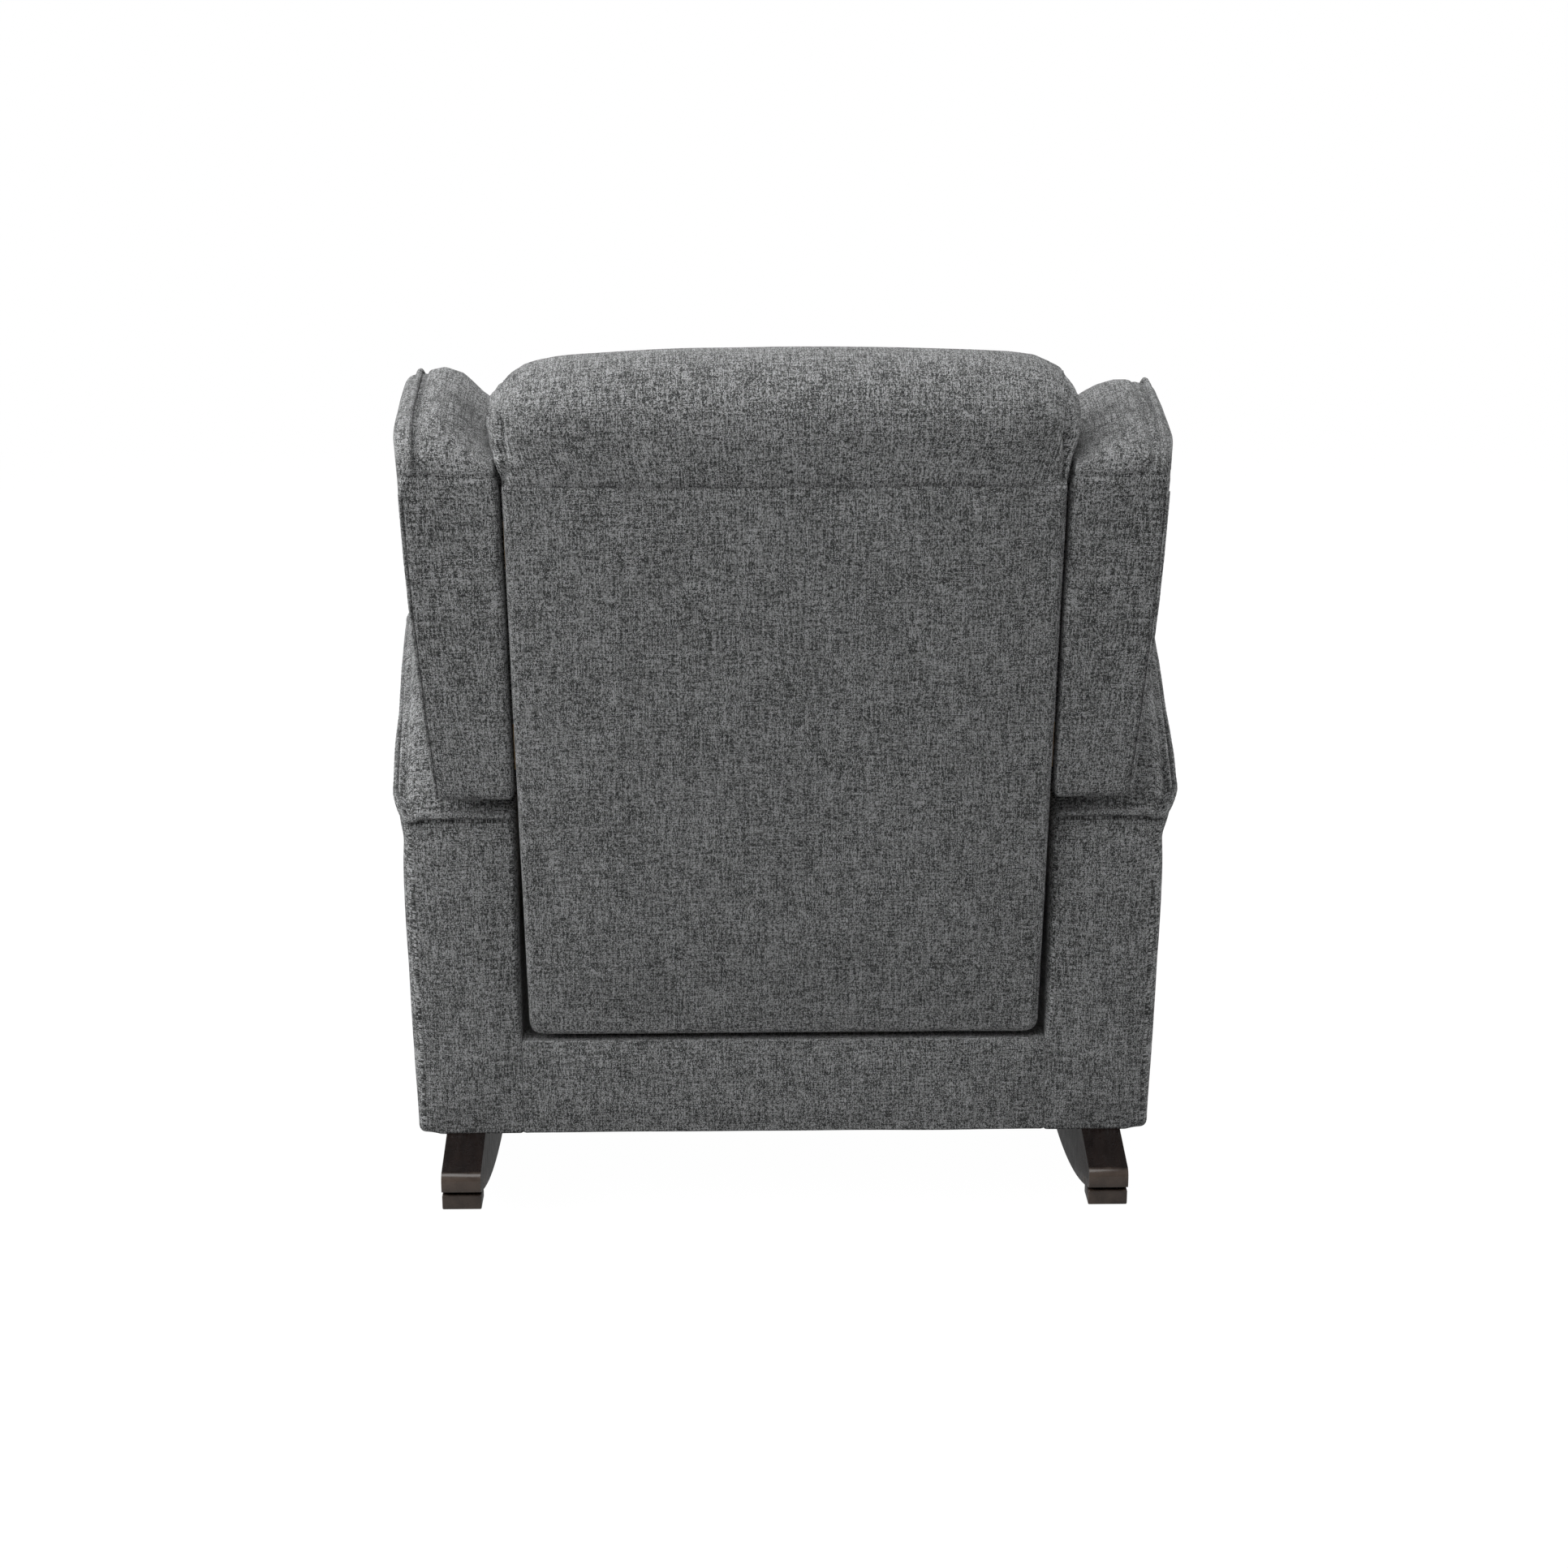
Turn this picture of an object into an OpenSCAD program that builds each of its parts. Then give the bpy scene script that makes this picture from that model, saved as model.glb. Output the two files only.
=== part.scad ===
// Upholstered wing chair on rockers. The back tilts and swings the footrest out.
// The front faces -Y and +Z is up. The origin is on the floor, in the middle of the chair.

/* [Base] */
// Depth of the upholstered base, from the arm fronts to the rear face
base_depth = 700; // [680:5:720]
// Height of the base underside above the floor
base_z = 100; // [98:1:108]
// Clear width between the arms
seat_w = 566; // [550:2:590]
// Height of the rear rail under the back
rear_rail_h = 104; // [90:1:106]
// Thickness of the padding on the rear rail
rear_pad_t = 10; // [6:1:14]

/* [Arms] */
// Width of one arm at the rear
arm_w = 122; // [116:2:130]
// Outward flare of each arm towards the front
arm_flare = 20; // [0:2:30]
// Length over which the arm flares and rises
arm_rise_len = 330; // [310:5:350]
// Height of the arm at the rear
arm_rear_h = 459; // [450:1:465]
// Height of the arm at the front
arm_front_h = 624; // [612:2:632]
// Thickness of the crowned arm pad
arm_pad_t = 36; // [32:1:42]
// Thickness of the arm's side, front and rear padding
arm_skin_t = 10; // [8:1:14]
// Thickness of the plywood arm frame
ply_t = 18; // [15:1:21]

/* [Rockers] */
// Thickness of each rocker board
rocker_t = 42; // [38:1:45]
// Distance from an arm's inner face to the middle of its rocker
rocker_inset = 63; // [60:1:66]
// Radius of the rocking edge
rocker_r = 1100; // [1050:10:1200]
// Distance from the rear face to the point that touches the floor
contact_back = 292; // [284:1:300]
// Length of the tail behind the rear face
tail_len = 82; // [76:1:90]
// Height of the tail's underside
tail_under_z = 60; // [58:1:62]
// Drop of the tail's top face towards its nose
tail_drop = 14; // [10:1:16]
// Length of the stop block under the tail
stop_len = 35; // [30:1:38]
// Height of the stop block
stop_h = 16.5; // [14:0.5:20]
// Radius of the rocker bolt shank
bolt_r = 4; // [3:0.5:5]

/* [Seat] */
// Height of the top of the seat rails
rail_top_z = 370; // [366:1:376]
// Height of the seat rails
rail_h = 52; // [46:1:54]
// Thickness of the cross rails
rail_t = 25; // [22:1:28]
// Thickness of the side rails
side_rail_t = 22; // [20:1:24]
// Distance from the rear face to the rear seat rail
rear_rail_back = 190; // [185:1:195]
// Setback of the seat cushion's front behind the footrest pad
cushion_step = 15; // [12:1:20]
// Thickness of the seat cushion
cushion_t = 104; // [96:1:112]
// Radius of the spring wire
wire_r = 2; // [1.6:0.1:2.4]
// Number of seat springs
spring_count = 4; // [3:1:5]

/* [Back] */
// Rearward lean of the back
lean = 5; // [4:0.5:6]
// Height of the lower edge of the back
back_z = 212; // [210:1:216]
// Width of the back at its lower edge
back_w = 556; // [540:1:556]
// Width of the back at the seam under the top roll
back_seam_w = 576; // [566:1:580]
// Width of the top roll
roll_w = 606; // [590:1:610]
// Height of the seam above the lower edge
seam_h = 611; // [600:1:620]
// Height of the top roll above its seam, along the slope
roll_h = 122; // [116:1:128]
// Depth of the top roll
roll_d = 150; // [140:1:160]
// Thickness of the outside back panel
back_panel_t = 20; // [16:1:22]
// Thickness of the inside back cushion
back_cushion_t = 90; // [80:1:100]
// Gap between the wing and the arm under it
wing_gap = 16; // [14:1:20]
// Depth of the wing
wing_d = 270; // [250:5:280]
// Height of the wing's crest above the back's lower edge
wing_crest_h = 690; // [680:1:700]

/* [Mechanism] */
// Thickness of the steel links and plates
link_t = 4; // [3:0.5:4.5]
// Side play between neighbouring links
link_gap = 0.5; // [0.4:0.1:0.8]
// Width of the links
link_w = 18; // [16:1:19]
// Radius of the pivot pins
pin_r = 4; // [3:0.5:4.5]
// Radial running clearance of the pivots
run_gap = 0.05; // [0.03:0.01:0.1]
// Length of the lower footrest links
lower_len = 170; // [165:1:172]
// Length of the tilt crank beyond the lower link's end
tilt_crank = 45; // [42:1:48]
// Length of the drive crank on the lower link
drive_crank = 23; // [21:1:24]
// Spacing of the two parallel links
link_pitch = 60; // [56:1:64]
// Bow of the guide link away from the lower link
guide_bow = 14; // [13:1:18]

/* [Footrest] */
// Height of the footrest board
board_h = 250; // [244:1:254]
// Thickness of the footrest board
board_t = 15; // [12:1:18]
// Projection of the footrest pad in front of the arms
pad_t = 42; // [38:1:46]
// Side clearance of the footrest between the arms
footrest_gap = 6; // [4:1:10]

/* [Hidden] */

fabric = "#6b6c6b";
espresso = "#2a1d19";
timber = "#c9a978";
steel = "#8d9094";
jute = "#9b8b6c";

// Seat of one solid on another, and the gap round a panel that moves between others.
seat_gap = 0.3;

// Base, from the middle of the whole depth.
rear_y = (base_depth + pad_t + tail_len) / 2 - tail_len;
front_y = rear_y - base_depth;
arm_in = seat_w / 2;
rocker_x = arm_in + rocker_inset;
stations = 18;

// Height of the arm's crown and half width to its outside, at a depth y.
function rise(y) = min(1, (rear_y - y) / arm_rise_len);
function arm_line(y) = arm_rear_h + (arm_front_h - arm_rear_h) * sin(90 * rise(y));
function arm_out(y) = arm_in + arm_w + arm_flare * rise(y);
function station(i) = i <= stations / 2
  ? rear_y - arm_rise_len * i / (stations / 2)
  : rear_y - arm_rise_len - (base_depth - arm_rise_len) * (i - stations / 2) / (stations / 2);
// Underside of the crowned arm pad, straight between the stations.
function pad_low(y) = lookup(y, [for (i = [0:stations]) [station(i), arm_line(station(i)) - arm_pad_t]]);
function arc(c, r, a0, a1, n) = [for (i = [0:n]) c + r * [cos(a0 + (a1 - a0) * i / n), sin(a0 + (a1 - a0) * i / n)]];
function round_rect(w, h, r, n) = concat(
  arc([w / 2 - r, r], r, -90, 0, n), arc([w / 2 - r, h - r], r, 0, 90, n),
  arc([-w / 2 + r, h - r], r, 90, 180, n), arc([-w / 2 + r, r], r, 180, 270, n));

// Solid through rings of equal point counts, with flat ends.
module loft(rings) {
  n = len(rings[0]);
  last = len(rings) - 1;
  points = [for (ring = rings) each ring];
  walls = [for (i = [0:last - 1]) for (j = [0:n - 1])
    each [[i * n + j, (i + 1) * n + j, (i + 1) * n + (j + 1) % n],
          [i * n + j, (i + 1) * n + (j + 1) % n, i * n + (j + 1) % n]]];
  polyhedron(points, concat([[for (j = [0:n - 1]) j]], walls, [[for (j = [n - 1:-1:0]) last * n + j]]));
}

// Flat outline in depth and height, drawn as a slab along X.
module slab(x, t) {
  translate([x, 0, 0]) rotate([90, 0, 90]) linear_extrude(t) children();
}

// Flat outline in width and height, drawn as a slab along Y.
module upright(y, t) {
  translate([0, y + t, 0]) rotate([90, 0, 0]) linear_extrude(t) children();
}

module x_rod(p, x, length, r) {
  translate([x, p[0], p[1]]) rotate([0, 90, 0]) cylinder(h = length, r = r, $fn = 48);
}

module both_sides() {
  children();
  mirror([1, 0, 0]) children();
}

/* Rockers */
contact_y = rear_y - contact_back;
tail_y = rear_y + tail_len;
toe_y = front_y - 10;
nose_r = 10;
bolt_inset = 60;
bolt_ys = [front_y + bolt_inset, contact_y, rear_y - bolt_inset];
bolt_head_r = 8;
bolt_head_h = 6;
bolt_grip = 34;
bolt_reach = 30;
stop_setback = 5;
stop_front_y = tail_y - stop_len - stop_setback;

module rocker_outline() {
  polygon(concat(
    [[toe_y, -1], [stop_front_y, -1], [stop_front_y, tail_under_z]],
    arc([tail_y - nose_r, tail_under_z + nose_r], nose_r, -90, 0, 6),
    arc([tail_y - nose_r, base_z - tail_drop - nose_r], nose_r, 0, 90, 6),
    [[rear_y, base_z], [toe_y, base_z]]));
}

module rocker() {
  difference() {
    intersection() {
      slab(rocker_x - rocker_t / 2, rocker_t) rocker_outline();
      x_rod([contact_y, rocker_r], rocker_x - rocker_t, 2 * rocker_t, rocker_r, $fn = 200);
    }
    for (y = bolt_ys) {
      translate([rocker_x, y, -1]) cylinder(h = base_z + 2, r = bolt_r + run_gap, $fn = 32);
      translate([rocker_x, y, -1]) cylinder(h = base_z - bolt_grip + 1, r = bolt_head_r + 1, $fn = 32);
    }
  }
}

module stop_block() {
  translate([rocker_x - rocker_t / 2, stop_front_y, tail_under_z - stop_h]) cube([rocker_t, stop_len, stop_h]);
}

module rocker_bolt(y) {
  translate([rocker_x, y, base_z - bolt_grip]) cylinder(h = bolt_grip + bolt_reach, r = bolt_r, $fn = 32);
  translate([rocker_x, y, base_z - bolt_grip - bolt_head_h]) cylinder(h = bolt_head_h, r = bolt_head_r, $fn = 32);
}

module rocker_left() { color(espresso) rocker(); }
module rocker_right() { color(espresso) mirror([1, 0, 0]) rocker(); }
module stop_block_left() { color(espresso) stop_block(); }
module stop_block_right() { color(espresso) mirror([1, 0, 0]) stop_block(); }
module rocker_bolts() { color(steel) both_sides() for (y = bolt_ys) rocker_bolt(y); }

/* Arms */
// Outline of an arm's hard part under the crowned pad, drawn in by a margin.
module arm_outline(inset, bottom) {
  polygon(concat(
    [[front_y + inset, bottom], [rear_y - inset, bottom], [rear_y - inset, pad_low(rear_y - inset)]],
    [for (i = [1:stations - 1]) [station(i), pad_low(station(i))]],
    [[front_y + inset, pad_low(front_y)]]));
}

// Plan of a vertical sheet that follows the arm's flared outside.
module outside_plan(y_front, y_rear) {
  bend_y = rear_y - arm_rise_len;
  polygon([
    [arm_out(y_rear) - arm_skin_t, y_rear], [arm_out(y_rear), y_rear],
    [arm_out(bend_y), bend_y], [arm_out(y_front), y_front],
    [arm_out(y_front) - arm_skin_t, y_front], [arm_out(bend_y) - arm_skin_t, bend_y]]);
}

post_w = 40;
module arm_frame() {
  depth_in = arm_out(rear_y) - arm_skin_t - arm_in - side_rail_t / 2;
  difference() {
    intersection() {
      union() {
        slab(rocker_x - ply_t / 2, ply_t) arm_outline(arm_skin_t, base_z);
        translate([arm_in + side_rail_t / 2, rear_y - arm_skin_t - post_w, base_z]) cube([depth_in, post_w, arm_front_h]);
        translate([arm_in + side_rail_t / 2, front_y + arm_skin_t, base_z]) cube([depth_in, post_w, arm_front_h]);
        translate([arm_in + side_rail_t / 2, contact_y - post_w / 2, base_z]) cube([depth_in - arm_flare, post_w, arm_front_h]);
      }
      slab(arm_in, arm_w + arm_flare) arm_outline(arm_skin_t, base_z);
    }
    for (y = bolt_ys) translate([rocker_x, y, base_z - 1])
      cylinder(h = bolt_reach + 6, r = bolt_r + run_gap, $fn = 32);
  }
}

module arm_outside_panel() {
  intersection() {
    translate([0, 0, base_z]) linear_extrude(arm_front_h) outside_plan(front_y + arm_skin_t, rear_y - arm_skin_t);
    slab(arm_in, arm_w + arm_flare + 1) arm_outline(arm_skin_t, base_z);
  }
}

module arm_inside_pad() {
  slab(arm_in, side_rail_t / 2 - seat_gap) arm_outline(arm_skin_t, rail_top_z + seat_gap);
}

module arm_end_pad(y) {
  intersection() {
    translate([arm_in, y, base_z]) cube([arm_out(y) - arm_in, arm_skin_t, arm_front_h]);
    slab(arm_in, arm_w + arm_flare + 1) arm_outline(0, base_z);
  }
}

crown_h = 24;
crown_steps = 10;
front_round = 30;
function crown_ring(y, drop) = let (x0 = arm_in, x1 = arm_out(y), mid = (x0 + x1) / 2, half = (x1 - x0) / 2,
  bottom = pad_low(y), edge = (arm_pad_t - crown_h) * (1 - drop))
  concat([[x0, y, bottom], [x1, y, bottom]],
    [for (i = [0:crown_steps]) let (a = 180 * i / crown_steps)
      [mid + half * cos(a), y, bottom + edge + crown_h * (1 - drop) * sqrt(sin(a))]]);

module arm_top_pad() {
  rounded = [for (i = [1:5]) let (a = 15 * i) [front_y + front_round * (1 - sin(a)), 1 - cos(a)]];
  rings = concat(
    [for (i = [0:stations - 1]) crown_ring(station(i), 0)],
    [for (s = rounded) crown_ring(s[0], 0.8 * s[1])]);
  loft(rings);
}

module arm_frame_left() { color(timber) arm_frame(); }
module arm_frame_right() { color(timber) mirror([1, 0, 0]) arm_frame(); }
module arm_outside_panel_left() { color(fabric) arm_outside_panel(); }
module arm_outside_panel_right() { color(fabric) mirror([1, 0, 0]) arm_outside_panel(); }
module arm_inside_pad_left() { color(fabric) arm_inside_pad(); }
module arm_inside_pad_right() { color(fabric) mirror([1, 0, 0]) arm_inside_pad(); }
module arm_top_pad_left() { color(fabric) arm_top_pad(); }
module arm_top_pad_right() { color(fabric) mirror([1, 0, 0]) arm_top_pad(); }
module arm_front_pad_left() { color(fabric) arm_end_pad(front_y); }
module arm_front_pad_right() { color(fabric) mirror([1, 0, 0]) arm_end_pad(front_y); }
module arm_rear_panel_left() { color(fabric) arm_end_pad(rear_y - arm_skin_t); }
module arm_rear_panel_right() { color(fabric) mirror([1, 0, 0]) arm_end_pad(rear_y - arm_skin_t); }

/* Seat frame */
rail_z = rail_top_z - rail_h;
board_gap = 5;
front_rail_y = front_y + board_t + board_gap;
rear_rail_y = rear_y - rear_rail_back;
side_rail_tail = 80;
block_leg = 50;
block_drop = 6;
side_x = arm_in - side_rail_t / 2;

module rear_rail() {
  color(timber) translate([-arm_in, rear_y - rear_pad_t - rail_t, base_z]) cube([2 * arm_in, rail_t, rear_rail_h]);
}

module rear_rail_panel() {
  color(fabric) translate([-arm_in, rear_y - rear_pad_t, base_z]) cube([2 * arm_in, rear_pad_t, rear_rail_h]);
}

module cross_rail(y, half) {
  translate([-half, y, rail_z]) cube([2 * half, rail_t, rail_h]);
}

module seat_side_rail() {
  translate([side_x, front_rail_y, rail_z]) cube([side_rail_t, rear_rail_y + rail_t + side_rail_tail - front_rail_y, rail_h]);
}

module corner_block(y, turn) {
  translate([side_x, y, rail_z]) linear_extrude(rail_h - block_drop)
    polygon([[0, 0], [-block_leg, 0], [0, block_leg * turn]]);
}

module front_seat_rail() { color(timber) cross_rail(front_rail_y, side_x); }
module rear_seat_rail() { color(timber) cross_rail(rear_rail_y, plate_x); }
module seat_side_rail_left() { color(timber) seat_side_rail(); }
module seat_side_rail_right() { color(timber) mirror([1, 0, 0]) seat_side_rail(); }
module corner_blocks() {
  color(timber) both_sides() translate([-link_stack, 0, 0]) corner_block(rear_rail_y, -1);
}

// Sinuous spring: straight legs across, joined by half loops, hooked on both cross rails.
spring_loops = 14;
spring_leg = 34;
spring_y0 = front_rail_y + rail_t / 2;
spring_y1 = rear_rail_y + rail_t / 2;
loop_r = (spring_y1 - spring_y0) / spring_loops / 2;
spring_sides = 6;
loop_steps = 4;
spring_path = [for (k = [0:spring_loops - 1]) for (j = [0:loop_steps])
  let (side = k % 2 == 0 ? 1 : -1, a = -90 + 180 * j / loop_steps, cy = spring_y0 + loop_r * (2 * k + 1))
  [side * (spring_leg / 2 + loop_r * cos(a)), cy + loop_r * sin(a)]];

module sinuous_spring(x) {
  last = len(spring_path) - 1;
  rings = [for (i = [0:last])
    let (p = spring_path[i], q = spring_path[min(last, i + 1)], o = spring_path[max(0, i - 1)],
      d = (q - o) / norm(q - o))
    [for (s = [0:spring_sides - 1]) let (a = 360 * s / spring_sides)
      [x + p[0] - d[1] * wire_r * cos(a), p[1] + d[0] * wire_r * cos(a),
       rail_top_z + seat_gap + wire_r + wire_r * sin(a)]]];
  loft(rings);
}

module seat_springs() {
  pitch = 2 * side_x / (spring_count + 1);
  color(steel) for (i = [1:spring_count]) sinuous_spring(-side_x + pitch * i);
}

cushion_z = rail_top_z + 2 * wire_r + 2 * seat_gap;
cushion_front_y = front_y - pad_t + cushion_step;
cushion_tail = 90;
cushion_rear_y = rear_rail_y + cushion_tail;
cushion_r = 30;
module seat_cushion() {
  length = cushion_rear_y - cushion_front_y;
  color(fabric) slab(-arm_in + seat_gap, 2 * (arm_in - seat_gap))
    translate([cushion_front_y + length / 2, cushion_z]) polygon(round_rect(length, cushion_t, cushion_r, 6));
}

/* Mechanism, in planes that step inwards from the side rail */
link_step = link_t + link_gap;
plate_x = side_x - link_t;
lower_x = plate_x - link_step;
upper_x = lower_x - link_step;
bracket_x = upper_x - link_step;
tilt_x = bracket_x - link_step;
link_stack = side_x - tilt_x + 3;

// Directions are measured from straight ahead, positive upwards.
function ahead(a) = [-cos(a), sin(a)];
closed_a = -125;
pivot_back = 128;
pivot_drop = 6;
board_drop = 208;
foot_reach = 42;
foot_crank_ratio = 1.2;
foot_crank_turn = 134;
drive_turn = 50;
drive_ratio = 2.49;
drive_arm_a = -100;
back_pivot_in = 40;
back_pivot_up = 17;
lower_pivot = [front_rail_y + rail_t + pivot_back, rail_z - pivot_drop];
knee = lower_pivot + lower_len * ahead(closed_a);
board_y = front_y;
board_z = rail_z - board_drop;
foot_pivot = [board_y + board_t + foot_reach, board_z + board_h / 2];
upper_len = norm(foot_pivot - knee);
upper_a = atan2(foot_pivot[1] - knee[1], knee[0] - foot_pivot[0]);
guide_pivot = lower_pivot - link_pitch * ahead(upper_a);
guide_knee = knee - link_pitch * ahead(upper_a);
tilt_pin = knee + tilt_crank * ahead(closed_a);
foot_crank = tilt_crank * foot_crank_ratio;
tilt_eye = foot_pivot + foot_crank * ahead(upper_a - foot_crank_turn);
drive_eye = lower_pivot + drive_crank * ahead(closed_a - drive_turn);
back_pivot = [rear_y - back_pivot_in, rail_z + back_pivot_up];
drive_arm = drive_ratio * drive_crank;
drive_pin = back_pivot + drive_arm * ahead(drive_arm_a);

// Middle of a guide link, bowed so that it clears the drive crank when the footrest is out.
guide_elbow = (guide_pivot + guide_knee) / 2 + guide_bow * [-sin(closed_a), -cos(closed_a)];
pin_hole = pin_r + run_gap;
head_r = pin_r + 3;
head_t = 1.5;

// Flat bar through a row of points, with round eyes a little wider than its neck.
neck_share = 0.86;
module bar(points, w) {
  neck = neck_share * w;
  for (p = points) translate(p) circle(d = w, $fn = 48);
  for (i = [1:len(points) - 1]) {
    d = points[i] - points[i - 1];
    translate(points[i - 1]) rotate(atan2(d[1], d[0])) translate([0, -neck / 2]) square([norm(d), neck]);
  }
}

module flat_link(x, points, holes) {
  difference() {
    slab(x, link_t) bar(points, link_w);
    for (h = holes) x_rod(h, x - 1, link_t + 2, pin_hole);
  }
}

module pin_between(p, x_in, x_out) {
  x_rod(p, x_in, x_out - x_in, pin_r);
}

// Plate that carries the pivots: deep at the footrest links, tapering to an eye at the back's pivot.
plate_margin = 16;
plate_eye_r = 14;
plate_up = 30;
plate_down = 34;
plate_taper = 60;
module mechanism_plate() {
  low = rail_z - plate_down;
  high = rail_z + plate_up;
  front = lower_pivot[0] - plate_margin;
  waist = back_pivot[0] - plate_taper;
  difference() {
    slab(plate_x, link_t) {
      polygon([[front, high], [front, lower_pivot[1]], [lower_pivot[0], low + plate_eye_r],
        [guide_pivot[0], low], [guide_pivot[0] + 2 * plate_margin, low], [waist, rail_z - pivot_drop],
        [back_pivot[0], back_pivot[1] - plate_eye_r + 2], [back_pivot[0], back_pivot[1] + plate_eye_r - 2],
        [waist, high]]);
      translate(back_pivot) circle(r = plate_eye_r, $fn = 48);
    }
    for (p = [lower_pivot, guide_pivot, back_pivot]) x_rod(p, plate_x - 1, link_t + 2, pin_r);
  }
}

module fixed_pin(p) {
  pin_between(p, lower_x, plate_x + link_t);
}

module mechanism_plate_left() { color(steel) mechanism_plate(); }
module mechanism_plate_right() { color(steel) mirror([1, 0, 0]) mechanism_plate(); }
module pivot_pins() {
  color(steel) both_sides() for (p = [lower_pivot, guide_pivot, back_pivot]) fixed_pin(p);
}

torsion_r = 8;
module footrest_lower_links() {
  middle = (lower_pivot + knee) / 2;
  color(steel) {
    both_sides() {
      flat_link(lower_x, [drive_eye, lower_pivot, tilt_pin], [lower_pivot, drive_eye, knee]);
      pin_between(tilt_pin, tilt_x - head_t, lower_x);
      x_rod(tilt_pin, tilt_x - head_t - head_t, head_t, head_r);
    }
    x_rod(middle, -lower_x, 2 * lower_x, torsion_r);
  }
}

module footrest_guide_links() {
  color(steel) both_sides()
    flat_link(lower_x, [guide_pivot, guide_elbow, guide_knee], [guide_pivot, guide_knee]);
}

module footrest_upper_links() {
  color(steel) both_sides() {
    flat_link(upper_x, [guide_knee, foot_pivot], []);
    for (p = [knee, guide_knee]) pin_between(p, upper_x + link_t, lower_x + link_t);
    pin_between(foot_pivot, bracket_x, upper_x);
  }
}

module footrest_tilt_links() {
  color(steel) both_sides() flat_link(tilt_x, [tilt_pin, tilt_eye], [tilt_pin, tilt_eye]);
}

flange_w = 22;
flange_t = 3;
flange_half = 60;
module footrest_brackets() {
  edge_y = board_y + board_t;
  low = foot_pivot[1] - flange_half;
  color(steel) both_sides() {
    difference() {
      slab(bracket_x, link_t) {
        for (p = [foot_pivot, tilt_eye]) translate(p) circle(d = link_w, $fn = 48);
        polygon([[edge_y, low], tilt_eye + [6, -3], foot_pivot + [6, 3], [edge_y, low + 2 * flange_half]]);
      }
      x_rod(foot_pivot, bracket_x - 1, link_t + 2, pin_hole);
      x_rod(tilt_eye, bracket_x - 1, link_t + 2, pin_hole);
    }
    translate([bracket_x - flange_w, edge_y, low]) cube([flange_w + link_t, flange_t, 2 * flange_half]);
  }
}

drive_rod_w = 14;
module drive_rods() {
  color(steel) both_sides() difference() {
    slab(upper_x, link_t) bar([drive_eye, drive_pin], drive_rod_w);
    for (p = [drive_eye, drive_pin]) x_rod(p, upper_x - 1, link_t + 2, pin_hole);
  }
}

footrest_half = arm_in - footrest_gap;
module footrest_board() {
  color(timber) translate([-footrest_half, board_y, board_z]) cube([2 * footrest_half, board_t, board_h]);
}

foot_r = 16;
module footrest_pad() {
  round_y = board_y - pad_t + foot_r;
  color(fabric) slab(-footrest_half, 2 * footrest_half)
    polygon(concat([[board_y, board_z + board_h], [board_y, board_z]],
      arc([round_y, board_z + foot_r], foot_r, 270, 180, 6),
      arc([round_y, board_z + board_h - foot_r], foot_r, 180, 90, 6)));
}

/* Back, upright in its own frame: y is zero at the rear face, z at the lower edge */
module leaning() {
  translate([0, rear_y, back_z]) rotate([-lean, 0, 0]) children();
}

// Place of a point of the chair in the back's own frame.
function in_back(p) = let (dy = p[0] - rear_y, dz = p[1] - back_z)
  [dy * cos(lean) - dz * sin(lean), dy * sin(lean) + dz * cos(lean)];
function back_half(z) = (back_w + (back_seam_w - back_w) * z / seam_h) / 2;

back_h = seam_h + roll_h;
stile_x = 222;
stile_t = 24;
stile_d = 36;
stile_y = -back_panel_t - stile_d;
stile_z = 40;
stile_rise = 40;
stile_h = seam_h + stile_rise - stile_z;
cross_h = 50;
lumbar_z = 360;
back_clear = 8;
wing_rail_low = seam_h - 311;
wing_rail_high = seam_h - 91;

module back_stile() {
  leaning() translate([stile_x, stile_y, stile_z]) cube([stile_t, stile_d, stile_h]);
}

module back_cross(z, h) {
  leaning() translate([-stile_x, stile_y, z]) cube([2 * stile_x, stile_d, h]);
}

panel_edge_r = 12;
module back_panel() {
  corner = 14;
  half = back_w / 2;
  seam_half = back_seam_w / 2;
  color(fabric) leaning() intersection() {
    upright(-back_panel_t, back_panel_t) polygon(concat(
      arc([half - corner, corner], corner, -90, 0, 6), [[seam_half, seam_h], [-seam_half, seam_h]],
      arc([-half + corner, corner], corner, 180, 270, 6)));
    slab(-arm_in, 2 * arm_in) polygon(concat(
      [[-back_panel_t, 0]], arc([-panel_edge_r, panel_edge_r], panel_edge_r, -90, 0, 6),
      [[0, seam_h], [-back_panel_t, seam_h]]));
  }
}

// Stuffed roll over the stile tops: its ends widen up to a shoulder, and its crest is lower at the corners.
roll_shoulder = 60;
roll_crown = 10;
roll_wall = 40;
roll_ease = 12;
module back_roll() {
  corner = 38;
  half = roll_w / 2;
  seam_half = back_seam_w / 2;
  corner_z = roll_h - corner - roll_crown;
  pocket = stile_rise + seat_gap;
  color(fabric) leaning() translate([0, 0, seam_h + seat_gap]) intersection() {
    upright(-roll_d, roll_d) polygon(concat([[seam_half, 0], [half, roll_shoulder]],
      arc([half - corner, corner_z], corner, 0, 80, 6), [[0, roll_h]],
      arc([-half + corner, corner_z], corner, 100, 180, 6), [[-half, roll_shoulder], [-seam_half, 0]]));
    slab(-half, 2 * half) polygon(concat([[0, 0]],
      [for (i = [0:12]) let (a = 15 * i)
        [roll_d / 2 * (cos(a) - 1), roll_wall + (roll_h - roll_wall) * pow(sin(a), 0.7)]],
      [[-roll_d, roll_wall / 2], [-roll_d + roll_ease, 0], [stile_y, 0], [stile_y, pocket],
       [-back_panel_t, pocket], [-back_panel_t, 0]]));
  }
}

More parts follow.
